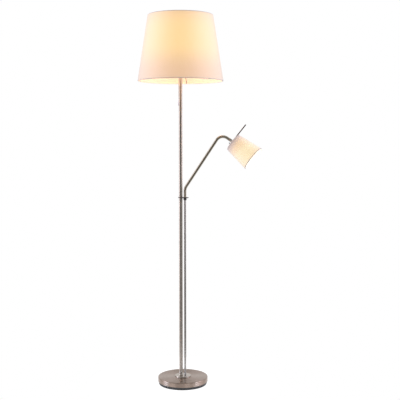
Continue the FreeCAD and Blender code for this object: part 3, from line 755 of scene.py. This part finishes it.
def piped(route: np.ndarray, outer: np.ndarray, bore: float, around: int) -> Patch:
    """A pipe's wall along a route in an XZ plane, out along its outside and back along its bore.

    Point (a, s) is route(s) + radius(s) * (cos a * Y + sin a * (Y x tangent)), so that the section
    stays square to the route.

    Args:
        route: centre points (n, 3) in millimetres.
        outer: the outer radius at each point.
        bore: the inner radius.
        around: the number of steps round.

    Returns:
        The surface.
    """
    tangent = np.gradient(route, axis=0)
    tangent /= np.linalg.norm(tangent, axis=1, keepdims=True)
    side = np.array([0.0, 1.0, 0.0])
    angle = once_round(around)[:, None, None]
    ring = np.cos(angle) * side + np.sin(angle) * np.cross(side, tangent)[None]
    points = np.concatenate([route + outer[:, None] * ring, (route + bore * ring)[:, ::-1]], axis=1)
    there_and_back = np.concatenate([route, route[::-1]])
    return Patch(points * MM, girth(outer.max(), around), runs(there_and_back, True))


def bar(start: np.ndarray, end: np.ndarray, radius: float, tip: float, around: int) -> Patch:
    """A round bar, closed to a pole at each end.

    Args:
        start: the middle of one end, in millimetres.
        end: the middle of the other.
        radius: the bar's radius.
        tip: the radius of its ends' round edge.
        around: the number of steps round.

    Returns:
        The surface.
    """
    long = float(np.linalg.norm(end - start))
    axis = (end - start) / long
    line = profile((0, 0), bend(tip, (radius - tip, tip), -90, 0, 6),
                   bend(tip, (radius - tip, long - tip), 0, 90, 6), (0, long))
    helper = np.array([0.0, 1.0, 0.0]) if abs(axis[1]) < 0.9 else np.array([1.0, 0.0, 0.0])
    across = np.cross(helper, axis)
    across /= np.linalg.norm(across)
    ahead = np.cross(axis, across)
    angle = once_round(around)[:, None, None]
    radial = line[None, :, 0, None] * (np.cos(angle) * across + np.sin(angle) * ahead)
    points = (start + radial + line[None, :, 1, None] * axis) * MM
    return Patch(points, girth(radius, around), runs(line, False), False)


# The lamp's finishes

NICKEL = Brushed("satin nickel tube", Slot.NICKEL, (0.57, 0.51, 0.455), 0.30, Lay.MAP, stretch=0.85)
# Painted shade: the next six are the same satin nickel as the tube, given darker colours where the spun base,
# thin tube, arm, rod, collar and knuckle look dim, the base also browner.
SPUN_SHADED = Brushed("satin nickel spun, shaded", Slot.NICKEL, (0.332, 0.255, 0.213), 0.30, Lay.MAP, 3600.0, stretch=0.9)
THIN_SHADED = Brushed("satin nickel thin tube, shaded", Slot.NICKEL, (0.48, 0.46, 0.44), 0.25, Lay.MAP)
ARM_SHADED = Brushed("satin nickel arm, shaded", Slot.NICKEL, (0.40, 0.355, 0.28), 0.27, Lay.MAP)
ROD_SHADED = Brushed("satin nickel rod, shaded", Slot.NICKEL, (0.19, 0.165, 0.16), 0.25, Lay.MAP)
COLLAR_SHADED = Brushed("satin nickel collar, shaded", Slot.NICKEL, (0.20, 0.185, 0.175), 0.34)
KNUCKLE_SHADED = Brushed("satin nickel knuckle, shaded", Slot.NICKEL, (0.30, 0.275, 0.25), 0.32)
BOB = Brushed("satin nickel bob", Slot.NICKEL, (0.78, 0.74, 0.80), 0.30)
ESCUTCHEON = Brushed("satin nickel escutcheon", Slot.NICKEL, (0.49, 0.44, 0.395), 0.32)
BLASTED = Brushed("satin nickel small parts", Slot.NICKEL, (0.56, 0.52, 0.48), 0.30)
ZINC = Brushed("zinc plate", Slot.ZINC, (0.60, 0.60, 0.585), 0.34, lines=3400.0, depth=0.00003)
BRASS = Brushed("plain brass", Slot.BRASS, (0.78, 0.60, 0.30), 0.30, lines=3400.0)
IRON = Solid("painted iron", Slot.IRON, (0.03, 0.03, 0.032), 0.6, 700.0, 0.0002, 0.3)
FOAM = Solid("foam pad", Slot.FOAM, (0.012, 0.010, 0.008), 0.95, 2200.0, 0.0003)
PLASTIC = Solid("black plastic", Slot.PLASTIC, (0.035, 0.033, 0.03), 0.5, 2600.0)
SHEATH = Solid("lead sheath", Slot.SHEATH, (0.75, 0.73, 0.68), 0.5, 900.0)
MOULDING = Solid("white moulding", Slot.MOULDING, (0.86, 0.84, 0.78), 0.48, 2600.0, 0.00002, 0.1, 0.1)
WIRE = Solid("powder coated wire", Slot.WIRE, (0.12, 0.11, 0.09), 0.42, 4200.0, clouding=0.15, coat=0.2)

# Painted glow colours, standing in for each bulb's light through its shade's cloth and lining.
MAIN_GLOW = ((0.27, 0.125, 0.02), (0.555, 0.242, 0.0), (0.78, 0.420, 0.0))
MAIN_LINING_GLOW = ((0.46, 0.22, 0.13), (0.50, 0.25, 0.15), (0.54, 0.28, 0.17))
SMALL_GLOW = ((0.26, 0.10, 0.0), (0.58, 0.325, 0.045), (0.64, 0.465, 0.135))
SMALL_LINING_GLOW = ((0.55, 0.50, 0.42), (0.62, 0.57, 0.48), (0.70, 0.64, 0.54))


# The lamp's sub-assemblies


@dataclass(frozen=True)
class Base:
    """The round foot: a spun cover over a weight, on a foam pad."""

    radius: float = 109.0
    top: float = 32.0
    edge: float = 3.0
    sheet: float = 1.2
    low: float = 11.6
    hole_r: float = 20.0
    burr: float = 0.3
    inlet_r: float = 5.05
    inlet_z: float = 8.2
    lifted_to: float = 16.0
    around: int = 240
    arch_steps: int = 25

    def cover(self) -> Patch:
        """The cover's shell: a flat top, a round edge and a skirt, arched over the bushing at the back.

        The skirt's lower edge is at the cover's lowest height, and over the bushing at
        inlet_z + sqrt(inlet_r^2 - x^2). Heights under lifted_to are carried up in proportion
        between that edge and lifted_to.

        Returns:
            The surface.
        """
        corner = (self.radius - self.edge, self.top - self.edge)
        outer_r, inner_r = self.radius, self.radius - self.sheet
        line = profile(
            np.stack([np.linspace(self.hole_r, corner[0], 24), np.full(24, self.top)], axis=1),
            bend(self.edge, corner, 88, 0, 20),
            [(outer_r, self.low + rise) for rise in (14.0, 7.0, 3.0, self.burr)],
            (outer_r - self.burr, self.low), (inner_r + self.burr, self.low), (inner_r, self.low + self.burr),
            bend(self.edge - self.sheet, corner, 0, 90, 14),
            (self.hole_r, self.top - self.sheet))
        back = math.pi / 2
        reach = math.asin(math.sqrt(self.inlet_r ** 2 - (self.low - self.inlet_z) ** 2) / self.radius)
        arch = back + np.linspace(-reach, reach, self.arch_steps)
        beside = back + np.array([-1.004, 1.004]) * reach
        turn = np.unique(np.concatenate([once_round(self.around), arch, beside]))
        rise = np.sqrt(np.maximum(self.inlet_r ** 2 - (self.radius * np.cos(turn)) ** 2, 0.0))
        lowest = np.where(np.sin(turn) > 0, np.maximum(self.low, self.inlet_z + rise), self.low)[:, None]
        height = np.broadcast_to(line[:, 1], (len(turn), len(line)))
        room = (self.lifted_to - lowest) / (self.lifted_to - self.low)
        height = np.where(height < self.lifted_to, lowest + (height - self.low) * room, height)
        across = np.append(turn, turn[0] + 2 * math.pi) * self.radius * MM
        return Patch(swung(line[:, 0], turn, height) * MM, across, runs(line, True))

    def build(self) -> None:
        """Makes the cover and dresses what it stands on."""
        piece("base_shell", "stand", ("base_cover",), [self.cover()], SPUN_SHADED)
        refined("stand", ESCUTCHEON, "escutcheon")
        refined("stand", PLASTIC, "cord_bushing")
        dress(FOAM, "foot_pad")
        dress(IRON, "base_weight")
        dress(ZINC, "base_nuts", "base_washers", "main_tube_studs", "tube_couplers")
        dress(PLASTIC, "splice_caps")
        dress(SHEATH, "main_lead", "reading_lead_lower")


@dataclass(frozen=True)
class Tube:
    """A tube in several lengths, each end with a small chamfer that shows as a fine joint line."""

    place: Place
    radius: float
    bore: float
    lengths: tuple[str, ...]
    joints: tuple[float, ...]
    finish: Finish
    chamfer: float = 0.35
    edge: float = 2.0

    def build(self) -> None:
        """Makes each length of the tube's wall."""
        near, far = self.chamfer, self.edge
        for name, low, high in zip(self.lengths, self.joints, self.joints[1:]):
            line = profile((self.radius - near, low), (self.radius, low + near), (self.radius, low + far),
                           (self.radius, high - far), (self.radius, high - near), (self.radius - near, high),
                           (self.bore, high), (self.bore, low))
            piece(f"{name}_skin", "stand", (name,), [turned(line, self.place, 72, True)], self.finish)


@dataclass(frozen=True)
class Uprights:
    """The main tube in three lengths, the support tube in two, and the collar that ties them."""

    main: Tube = Tube(MAIN_AXIS, 8.0, 7.0, ("main_tube_lower", "main_tube_middle", "main_tube_upper"),
                            (36.0, 425.0, 820.0, 1388.0), NICKEL)
    support: Tube = Tube(SUPPORT_AXIS, 4.75, 3.55, ("support_tube_lower", "support_tube_upper"),
                               (10.8, 425.0, 811.35), THIN_SHADED)

    def build(self) -> None:
        """Makes the tubes, the collar's screws and the collar."""
        self.main.build()
        self.support.build()
        refined("stand", COLLAR_SHADED, "collar_plate")
        refined("stand", PLASTIC, "arm_bushing")
        refined("stand", COLLAR_SHADED, "collar_clamp_screw", "arm_friction_screw")


@dataclass(frozen=True)
class ReadingArm:
    """The bent arm, its fork and the clamp screw through the knuckle."""

    foot: Point = (11.0, 0.0, 818.05)
    bend_z: float = 860.9
    lean: float = 34.3
    end_dip: float = 33.4
    bend_radii: tuple[float, float] = (38.0, 34.0)
    radius: float = 6.0
    bore: float = 4.8
    rounding: float = 0.3
    edge: float = 4.0
    fork_reach: float = 10.5

    def route(self) -> np.ndarray:
        """The arm's centre line: three straight runs joined by two arcs.

        An arc of radius R between unit directions d and e starts R * tan(t / 2) before the corner,
        with t the angle between them, and its point at turn a is R sin a along d and
        R (1 - cos a) towards the inside of the bend.

        Returns:
            Points (n, 3) in millimetres.
        """
        straight = np.array([0.0, 0.0, 1.0])
        up, out = heading(90 - self.lean), heading(-self.end_dip)
        start, pivot = np.array(self.foot), np.array(HEAD_AXIS.origin)
        corner = np.array([start[0], 0.0, self.bend_z])
        gap = pivot - corner
        run = (gap[0] * out[2] - gap[2] * out[0]) / (up[0] * out[2] - up[2] * out[0])
        ends = np.array([[0.0], [self.rounding], [self.edge]])
        parts = [start + straight * ends]
        corners = (corner, corner + up * run)
        for corner, radius, before, after in zip(corners, self.bend_radii, (straight, up), (up, out)):
            angle = math.acos(float(before @ after))
            begin = corner - before * radius * math.tan(angle / 2)
            inward = after - before * float(before @ after)
            inward /= np.linalg.norm(inward)
            turn = np.linspace(0, angle, 33)[:, None]
            parts.append(begin + radius * (np.sin(turn) * before + (1 - np.cos(turn)) * inward))
        parts.append(pivot - out * self.fork_reach - out * ends[::-1])
        return np.concatenate(parts)

    def build(self) -> None:
        """Makes the arm's wall and dresses the knuckle."""
        line = self.route()
        outer = np.full(len(line), self.radius)
        outer[[0, -1]] -= self.rounding
        piece("arm_skin", "arm", ("arm_tube",), [piped(line, outer, self.bore, 48)], ARM_SHADED)
        refined("arm", KNUCKLE_SHADED, "arm_fork")
        refined("arm", ZINC, "knuckle_screw", "knuckle_washers", "knuckle_nut")
        dress(ZINC, "arm_spigot")
        dress(SHEATH, "reading_lead_arm")


@dataclass(frozen=True)
class Globe:
    """A lit round bulb on an axis: its neck, a flare and the globe, without its screw cap."""

    name: str
    body: str
    node: str
    place: Place
    contact: float
    long: float
    radius: float
    neck_r: float
    neck_top: float
    cap: float
    around: int
    finish: str
    strength: float
    sampled: str
    meeting: float = -38.0

    def line(self) -> np.ndarray:
        """The bulb's outer profile.

        The flare from the neck to the globe is a smooth step of the radius between the neck's top and
        the point where it meets the globe, under the globe's widest place.

        Returns:
            Points (n, 2) of radius and height.
        """
        centre = (0.0, self.contact + self.long - self.radius)
        low = self.contact + self.cap
        meet = bend(self.radius, centre, self.meeting, self.meeting, 0)[0]
        share = np.linspace(0, 1, 15)[1:-1]
        ease = share ** 2 * (3 - 2 * share) * 0.55 + share ** 1.6 * 0.45
        flare = np.stack([self.neck_r + (meet[0] - self.neck_r) * ease,
                          self.neck_top + (meet[1] - self.neck_top) * share], axis=1)
        return profile((0, low), (self.neck_r, low), (self.neck_r, self.neck_top), flare,
                       bend(self.radius, centre, self.meeting, 90, 40))

    def build(self) -> None:
        """Makes the bulb's glass."""
        centre = tuple(self.place.at(self.contact + self.long - self.radius) * MM)
        opal = Opal(self.finish, centre, self.radius * MM, self.strength, self.sampled)
        piece(self.name, self.body, (self.node,), [turned(self.line(), self.place, self.around)], opal)


@dataclass(frozen=True)
class MainLamp:
    """The cup, pull switch, lampholder and round bulb on top of the main tube."""

    bulb: Globe = Globe("main_globe", "stand", "main_bulb_glass", MAIN_AXIS, contact=1421.5, long=108.0,
                        radius=30.0, neck_r=12.0, neck_top=1457.0, cap=24.0, around=72,
                        finish="lit opal glass", strength=16.0, sampled="FRONT")

    def build(self) -> None:
        """Makes the bulb and dresses its holder."""
        self.bulb.build()
        refined("stand", BLASTED, "holder_cup")
        refined("stand", MOULDING, "lampholder", "shade_retaining_ring")
        refined("stand", ZINC, "main_bulb_cap")
        dress(ZINC, "holder_nut")
        dress(PLASTIC, "pull_switch")
        dress(BRASS, "lampholder_contacts")


@dataclass(frozen=True)
class PullChain:
    """The bead chain that hangs from the pull switch, and the bob at its end."""

    top: float = 1409.0
    bob_top: float = 1244.0
    bob_long: float = 28.0
    bob_r: float = 3.9
    waist_r: float = 1.35
    head_r: float = 1.75
    head_long: float = 3.4
    bead_r: float = 1.6
    pitch: float = 4.2
    wire_r: float = 0.5

    def beads(self) -> list[Patch]:
        """A round bead every pitch down the chain, and the wire between them.

        Returns:
            The surfaces.
        """
        made = []
        for index in range(int((self.top - self.bob_top) / self.pitch)):
            middle = self.top - self.bead_r - self.pitch * index
            made.append(turned(bend(self.bead_r, (0.0, middle), -90, 90, 8), CHAIN_AXIS, 14))
        low, high = self.bob_top - 1.0, self.top - 2.0
        wire = profile((0, low), (self.wire_r, low), (self.wire_r, high), (0, high))
        return [*made, turned(wire, CHAIN_AXIS, 8)]

    def bob(self) -> Patch:
        """The bob: a round foot, a waist that narrows as a raised cosine, and a small bead on top.

        Returns:
            The surface.
        """
        middle = self.bob_top - self.bob_long + self.bob_r
        share = np.linspace(0, 1, 24)[1:]
        waist = self.waist_r + (self.bob_r - self.waist_r) * (0.5 + 0.5 * np.cos(math.pi * share)) ** 0.62
        body = np.stack([waist, middle + (self.bob_long - self.bob_r - self.head_long) * share], axis=1)
        line = profile(bend(self.bob_r, (0.0, middle), -90, 0, 12), body,
                       bend(self.head_r, (0.0, self.bob_top - self.head_r), -50, 62, 10),
                       (0.6, self.bob_top), (0.0, self.bob_top))
        return turned(line, CHAIN_AXIS, 40)

    def build(self) -> None:
        """Makes the chain and the bob, and dresses the eyelet."""
        piece("bead_chain", "pull", ("pull_chain",), self.beads(), ZINC)
        piece("chain_bob", "pull", ("pull_bob",), [self.bob()], BOB)
        refined("stand", BLASTED, "chain_eyelet")


@dataclass(frozen=True)
class Shade:
    """A shade: cloth on a stiff lining, turned over a wire at each rim, with one lapped seam.

    The cloth's painted glow is brightest beside a point that is glow_at along the axis from the bulb, moved
    by glow_shift, and falls to the share low_rim at the low rim.
    """

    name: str
    body: str
    nodes: tuple[str, ...]
    place: Place
    low: float
    high: float
    r_low: float
    r_high: float
    wall: float
    wire_r: float
    wire_in: float
    seam: float
    bulb_at: float
    glow: tuple[Colour, Colour, Colour]
    lining_glow: tuple[Colour, Colour, Colour]
    glow_at: float
    glow_shift: Point = (0.0, 0.0, 0.0)
    low_rim: float = 0.0
    fold: tuple[float, float] = (1.0, 4.2)
    around: int = 288
    rows: int = 60
    lining_rows: int = 40
    cloth_on_wire: float = 0.95
    flap: float = 10.0
    tuck: float = 0.45
    ridge: float = 0.18
    ridge_wide: float = 2.2
    lap: float = 0.45
    lap_half: float = 4.0
    lap_edge: float = 0.25
    hem: float = 8.0

    def radius(self, height: np.ndarray | float) -> np.ndarray | float:
        """The cone's outer radius at a height."""
        return self.r_low + (self.r_high - self.r_low) * (height - self.low) / (self.high - self.low)

    def inside(self, height: np.ndarray, depth: np.ndarray | float) -> np.ndarray:
        """Points of the profile at a depth under the cone's outer face."""
        return np.stack([self.radius(height) - depth, height], axis=1)

    def section(self) -> tuple[np.ndarray, np.ndarray]:
        """The wall's profile as a loop, and the material index of each of its steps.

        The outside runs up the cone. At each rim it turns round the wire on an arc and ends in a
        flap inside, one cloth thick, and the lining lies between the two flaps.

        Returns:
            Points (n, 2) of radius and height, and n indices.
        """
        roll = self.wire_r + self.cloth_on_wire
        low_edge, high_edge = self.low + roll, self.high - roll
        rise = np.linspace(low_edge, high_edge, self.rows)
        rims = sum(np.exp(-((away - self.wire_in) / self.ridge_wide) ** 2)
                   for away in (rise - self.low, self.high - rise))
        outer = self.inside(rise, -self.ridge * rims)
        top = bend(roll, (self.radius(high_edge) - roll, high_edge), 8, 172, 14)
        low = bend(roll, (self.radius(low_edge) - roll, low_edge), 188, 352, 14)
        steps = np.array([0.0, 0.25, 0.55, 0.85, 1.0])
        depth = 2 * roll + (self.wall + self.tuck - 2 * roll) * (steps ** 2 * (3 - 2 * steps))
        reach = steps * (self.flap - roll)
        high_flap = self.inside(high_edge - reach, depth)
        low_flap = self.inside((low_edge + reach)[::-1], depth[::-1])
        ends = (self.high - self.flap - 0.1, self.low + self.flap + 0.1)
        lining = self.inside(np.linspace(*ends, self.lining_rows), self.wall)
        line = profile(outer, top, high_flap, lining, low_flap, low)
        slots = np.zeros(len(line), int)
        slots[len(outer) + len(top) // 2:len(line) - len(low) // 2 - 1] = 1
        return line, slots

    def surface(self) -> Patch:
        """The wall carried round the axis, with a lapped seam and the faint waviness of hand-rolled card.

        The radius grows by the lap over the width of the lapped seam, which fades at the rims, and
        by a few tenths of a millimetre of slow waves round the wall.

        Returns:
            The surface.
        """
        line, slots = self.section()
        mean = (self.r_low + self.r_high) / 2
        half, edge = self.lap_half / mean, self.lap_edge / mean
        seam = math.radians(self.seam)
        marks = seam + np.array([-half - edge, -half, -half / 2, 0.0, half / 2, half, half + edge])
        turn = np.concatenate([once_round(self.around), marks % (2 * math.pi)])
        turn = np.unique(np.round(turn, 9))
        each = turn[:, None]
        off = (each - seam + math.pi) % (2 * math.pi) - math.pi
        lap = np.clip((half + edge - np.abs(off)) / edge, 0.0, 1.0)
        belly = np.sin(math.pi * np.clip((line[:, 1] - self.low) / (self.high - self.low), 0.0, 1.0))
        waves = sum(deep * np.sin(count * each + phase)
                    for deep, count, phase in ((0.16, 3, 0.7), (0.11, 7, 2.1), (0.05, 13, 0.0)))
        outside = np.arange(len(line)) < self.rows
        seamed = self.lap * lap * outside * np.minimum(1.0, 6 * belly)
        radius = line[:, 0] + waves * belly * self.wall + seamed
        points = swung(radius, turn, line[:, 1])
        across = np.append(turn, turn[0] + 2 * math.pi) * mean * MM
        return Patch(self.place.move(points), across, runs(line, True), True, slots)

    def build(self) -> None:
        """Makes the shade with its painted-glow cloth and lining."""
        middle = self.bulb_at + self.glow_at
        shared = dict(
            bulb=tuple((self.place.at(middle) + np.array(self.glow_shift)) * MM), turn=self.place.turn,
            wall=float(self.radius(middle)), low=self.low - middle, high=self.high - middle)
        cloth = PaintedGlowCloth(f"{self.name} cloth", glow=self.glow, fold=self.fold, low_rim=self.low_rim, **shared)
        lining = PaintedGlowCloth(f"{self.name} lining", glow=self.lining_glow, fold=(-2.0, 1.0),
                          colour=(0.93, 0.90, 0.80), **shared)
        made = piece(self.name, self.body, self.nodes, [self.surface()], cloth, lining)


@dataclass(frozen=True)
class ShadeFrame:
    """The struts from a shade's fitter ring to its rim wire."""

    name: str
    body: str
    node: str
    place: Place
    ring_r: float
    ring_z: float
    rim_r: float
    rim_z: float
    wire_r: float
    azimuths: tuple[float, ...]

    def build(self) -> None:
        """Makes each strut as a round wire from the ring's edge to the rim."""
        patches = []
        for angle in np.radians(self.azimuths):
            ends = [(radius * math.cos(angle), radius * math.sin(angle), height)
                    for radius, height in ((self.ring_r, self.ring_z), (self.rim_r, self.rim_z))]
            start, end = self.place.move(np.array(ends)) / MM
            patches.append(bar(start, end, self.wire_r, 0.6 * self.wire_r, 16))
        piece(self.name, self.body, (self.node,), patches, WIRE)


@dataclass(frozen=True)
class ReadingHead:
    """The reading lamp: its knuckle, rod, cap, switch, lampholder and bulb, on the head's own axis."""

    rod_elevation: float = 50.8
    rod_offset: float = 4.1
    rod_r: float = 2.5
    rod_from: float = 5.15
    rod_to: float = 93.0
    bulb: Globe = Globe("reading_globe", "head", "reading_bulb_glass", HEAD_AXIS, contact=24.5, long=78.0,
                        radius=22.5, neck_r=6.2, neck_top=52.5, cap=23.0, around=64,
                        finish="lit opal glass, small", strength=2.5, sampled="NONE")

    def build(self) -> None:
        """Makes the rod and the bulb, and dresses the rest."""
        nearest = np.array(HEAD_AXIS.origin) + self.rod_offset * heading(self.rod_elevation - 90)
        start, end = (nearest + heading(self.rod_elevation) * along for along in (self.rod_from, self.rod_to))
        rod = bar(start, end, self.rod_r, 0.98 * self.rod_r, 32)
        piece("aim_rod_skin", "head", ("aim_rod",), [rod], ROD_SHADED)
        self.bulb.build()
        refined("head", KNUCKLE_SHADED, "head_knuckle")
        refined("head", BLASTED, "head_cap")
        refined("head", ZINC, "reading_switch_nut")
        refined("head", MOULDING, "reading_lampholder", "reading_retaining_ring")
        refined("head", ZINC, "reading_bulb_cap")
        refined("head", WIRE, "reading_fitter_ring")
        refined("button", PLASTIC, "reading_button")
        dress(ZINC, "head_nut")
        dress(PLASTIC, "reading_switch")
        dress(BRASS, "reading_contacts")


# The studio


def aimed(name: str, data: bpy.types.ID, place: Vector, look: Vector) -> bpy.types.Object:
    """Puts a camera or a light in the scene.

    Args:
        name: its name.
        data: the camera or light.
        place: where it stands, in metres.
        look: the direction in which it looks.

    Returns:
        The object.
    """
    made = bpy.data.objects.new(name, data)
    made.location = place
    made.rotation_mode = "QUATERNION"
    made.rotation_quaternion = look.to_track_quat("-Z", "Y")
    bpy.context.scene.collection.objects.link(made)
    return made


@dataclass(frozen=True)
class SoftBox:
    """A soft box that faces a height on the lamp's axis; its sizes and places are in metres.

    Its bearing is in degrees to the right from the direction in which the camera looks, its power in
    watts, and its spread the angle in degrees that its light keeps within.
    """

    name: str
    bearing: float
    away: float
    height: float
    size: tuple[float, float]
    power: float
    aim: float = 0.9
    colour: Colour = (1.0, 0.90, 1.04)
    spread: float = 180.0

    def build(self, ahead: np.ndarray, right: np.ndarray) -> None:
        """Makes the light.

        Args:
            ahead: the level direction in which the camera looks.
            right: the level direction to its right.
        """
        data = bpy.data.lights.new(self.name, "AREA")
        data.shape = "RECTANGLE"
        data.size, data.size_y = self.size
        data.energy = self.power
        data.color = self.colour
        data.spread = math.radians(self.spread)
        turn = math.radians(self.bearing)
        place = Vector(self.away * (math.cos(turn) * ahead + math.sin(turn) * right))
        place += Vector((0, 0, self.height))
        aimed(self.name, data, place, Vector((0, 0, self.aim)) - place).visible_camera = False


@dataclass(frozen=True)
class Studio:
    """A pale floor, a white surround, soft light from both sides and the camera."""

    turn: float = 17.0
    pitch: float = 4.36
    away: float = 3450.0
    aside: float = 75.3
    height: float = 1072.4
    focal: float = 71.82
    front: float = 0.11
    front_top: float = 0.28
    front_rise: tuple[float, float] = (-0.02, 0.25)
    front_part: tuple[float, float] = (-0.82, -0.42)
    side: float = 0.70
    back: float = 0.72
    back_part: tuple[float, float] = (0.15, 0.85)
    floor_r: float = 0.42
    floor_rings: int = 18
    floor_sectors: int = 96
    floor_behind: tuple[float, float] = (-0.15, 0.2)
    floor_pool: tuple[float, float] = (0.22, 0.42)
    lights: tuple[SoftBox, ...] = (
        SoftBox("left soft box", -88.0, 2.4, 1.35, (1.1, 2.2), 19.5),
        SoftBox("right soft box", 88.0, 2.4, 1.35, (1.1, 2.2), 19.5),
        SoftBox("left card", -98.0, 0.36, 0.05, (0.42, 0.08), 0.041, 0.0, (0.82, 1.06, 1.38), 36.0),
        SoftBox("right card", 113.0, 0.36, 0.05, (0.40, 0.08), 0.034, 0.0, (0.86, 1.0, 1.22), 36.0),
        SoftBox("left front card", -137.0, 0.5, 0.045, (0.28, 0.07), 0.010, 0.0, (0.95, 1.0, 1.05), 40.0),
        SoftBox("right front card", 158.0, 0.5, 0.045, (0.32, 0.07), 0.011, 0.0, (0.95, 1.0, 1.05), 40.0),
    )

    @property
    def ahead(self) -> np.ndarray:
        """The level direction in which the camera looks."""
        turn = math.radians(self.turn)
        return np.array([-math.sin(turn), math.cos(turn), 0.0])

    @property
    def right(self) -> np.ndarray:
        """The level direction to the camera's right."""
        return np.array([self.ahead[1], -self.ahead[0], 0.0])

    def camera(self) -> None:
        """Sets the camera where the photograph was taken from."""
        pitch = math.radians(self.pitch)
        straight = np.array([0, 0, 1.0])
        place = (-self.away * self.ahead + self.aside * self.right + self.height * straight) * MM
        look = math.cos(pitch) * self.ahead - math.sin(pitch) * straight
        data = bpy.data.cameras.new("camera")
        data.sensor_width = 36.0
        data.lens = self.focal
        data.clip_end = 100.0
        bpy.context.scene.camera = aimed("camera", data, Vector(place), Vector(look))

    def world(self) -> None:
        """A surround that is white to the eye and lights the lamp from behind, both sides and above.

        The part of the studio on the camera's side is dim, as the room behind a camera is.
        """
        world = bpy.data.worlds.new("studio")
        bpy.context.scene.world = world
        wire = Wiring.fresh(world)
        view = wire.add("TexCoord").outputs["Generated"]
        toward = wire.measure("DOT_PRODUCT", view, tuple(self.ahead))
        rise = wire.add("SeparateXYZ", {0: view}).outputs[2]
        path = wire.add("LightPath").outputs
        back = wire.mix(path["Is Glossy Ray"], self.back, 1.0)
        behind = wire.between(toward, *self.back_part, self.side, back)
        before = wire.between(rise, *self.front_rise, self.front, self.front_top)
        level = wire.mix(wire.between(toward, *self.front_part), before, behind)
        seen = wire.math("MAXIMUM", path["Is Camera Ray"], path["Is Transmission Ray"])
        white = wire.add("Background", {"Color": (1, 1, 1), "Strength": wire.mix(seen, level, 1.0)})
        wire.add("OutputWorld", {"Surface": white.outputs[0]})

    def floor(self) -> None:
        """A pale round floor that is white to the eye and keeps the lamp's shadow."""
        steps = np.linspace(0, self.floor_r, self.floor_rings)
        points = swung(steps, once_round(self.floor_sectors), np.zeros(self.floor_rings))
        quads, _, _ = Patch(points, girth(self.floor_r, self.floor_sectors), steps, False).faces()
        mesh = bpy.data.meshes.new("floor")
        mesh.from_pydata(points.reshape(-1, 3).tolist(), [], quads[:, ::-1].tolist())
        made = bpy.data.objects.new("floor", mesh)
        bpy.context.scene.collection.objects.link(made)
        pale = bpy.data.materials.new("pale floor")
        wire = Wiring.fresh(pale)
        path = wire.add("LightPath").outputs
        place = wire.add("TexCoord").outputs["Object"]
        behind = wire.between(wire.measure("DOT_PRODUCT", place, tuple(self.ahead)), *self.floor_behind)
        near = wire.between(wire.measure("LENGTH", place), *self.floor_pool, 1.0, 0.0)
        mirrored = wire.math("MULTIPLY", path["Is Glossy Ray"], wire.math("MAXIMUM", behind, near))
        through = wire.math("MAXIMUM", path["Is Transmission Ray"], mirrored)
        seen = wire.math("MAXIMUM", path["Is Camera Ray"], through)
        plain = wire.add("BsdfDiffuse", {"Color": (0.8, 0.8, 0.8)})
        glow = wire.add("Emission", {"Color": (1, 1, 1), "Strength": 0.9})
        soft = wire.add("BsdfDiffuse", {"Color": (0.3, 0.3, 0.3)})
        white = wire.add("AddShader", {0: glow.outputs[0], 1: soft.outputs[0]})
        both = wire.add("MixShader", {0: seen, 1: plain.outputs[0], 2: white.outputs[0]})
        wire.add("OutputMaterial", {"Surface": both.outputs[0]})
        mesh.materials.append(pale)

    def build(self) -> None:
        """Sets up the studio."""
        self.camera()
        self.world()
        self.floor()
        for light in self.lights:
            light.build(self.ahead, self.right)
        bpy.context.scene.view_settings.view_transform = "Standard"


def main() -> None:
    """Builds the studio and the lamp's sub-assemblies in order, then the main shade's fitter ring."""
    logging.basicConfig(level=logging.INFO, format="%(message)s")
    parts = [
        Studio(),
        Base(),
        Uprights(),
        ReadingArm(),
        MainLamp(),
        PullChain(),
        ShadeFrame("main_struts", "stand", "shade_fitter_struts", MAIN_AXIS, ring_r=27.35, ring_z=1430.75,
                   rim_r=179.0, rim_z=1322.8, wire_r=1.4, azimuths=(99.5, 219.5, 339.5)),
        Shade("main_shade_cloth", "stand", ("main_shade", "main_shade_wires"), MAIN_AXIS, low=1320.0,
              high=1600.0, r_low=184.0, r_high=139.5, wall=1.2, wire_r=1.4, wire_in=2.5, seam=107.0,
              bulb_at=1499.5, glow=MAIN_GLOW, lining_glow=MAIN_LINING_GLOW, glow_at=-14.0),
        ReadingHead(),
        ShadeFrame("reading_struts", "head", "reading_fitter_struts", HEAD_AXIS, ring_r=18.35, ring_z=42.6,
                   rim_r=36.4, rim_z=11.2, wire_r=1.0, azimuths=(60.0, 180.0, 300.0)),
        Shade("reading_shade_cloth", "head", ("reading_shade", "reading_shade_wires"), HEAD_AXIS, low=8.6,
              high=121.6, r_low=40.0, r_high=55.0, wall=1.0, wire_r=1.0, wire_in=2.0, seam=90.0,
              bulb_at=80.0, glow=SMALL_GLOW, lining_glow=SMALL_LINING_GLOW, glow_at=8.0,
              glow_shift=(-4.0, -8.0, -9.0), low_rim=0.5, fold=(4.8, 6.4), around=224),
    ]
    for part in parts:
        part.build()
        LOG.info("%s done", type(part).__name__)
    refined("stand", WIRE, "shade_fitter_ring")
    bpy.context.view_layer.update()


if __name__ == "__main__":
    main()
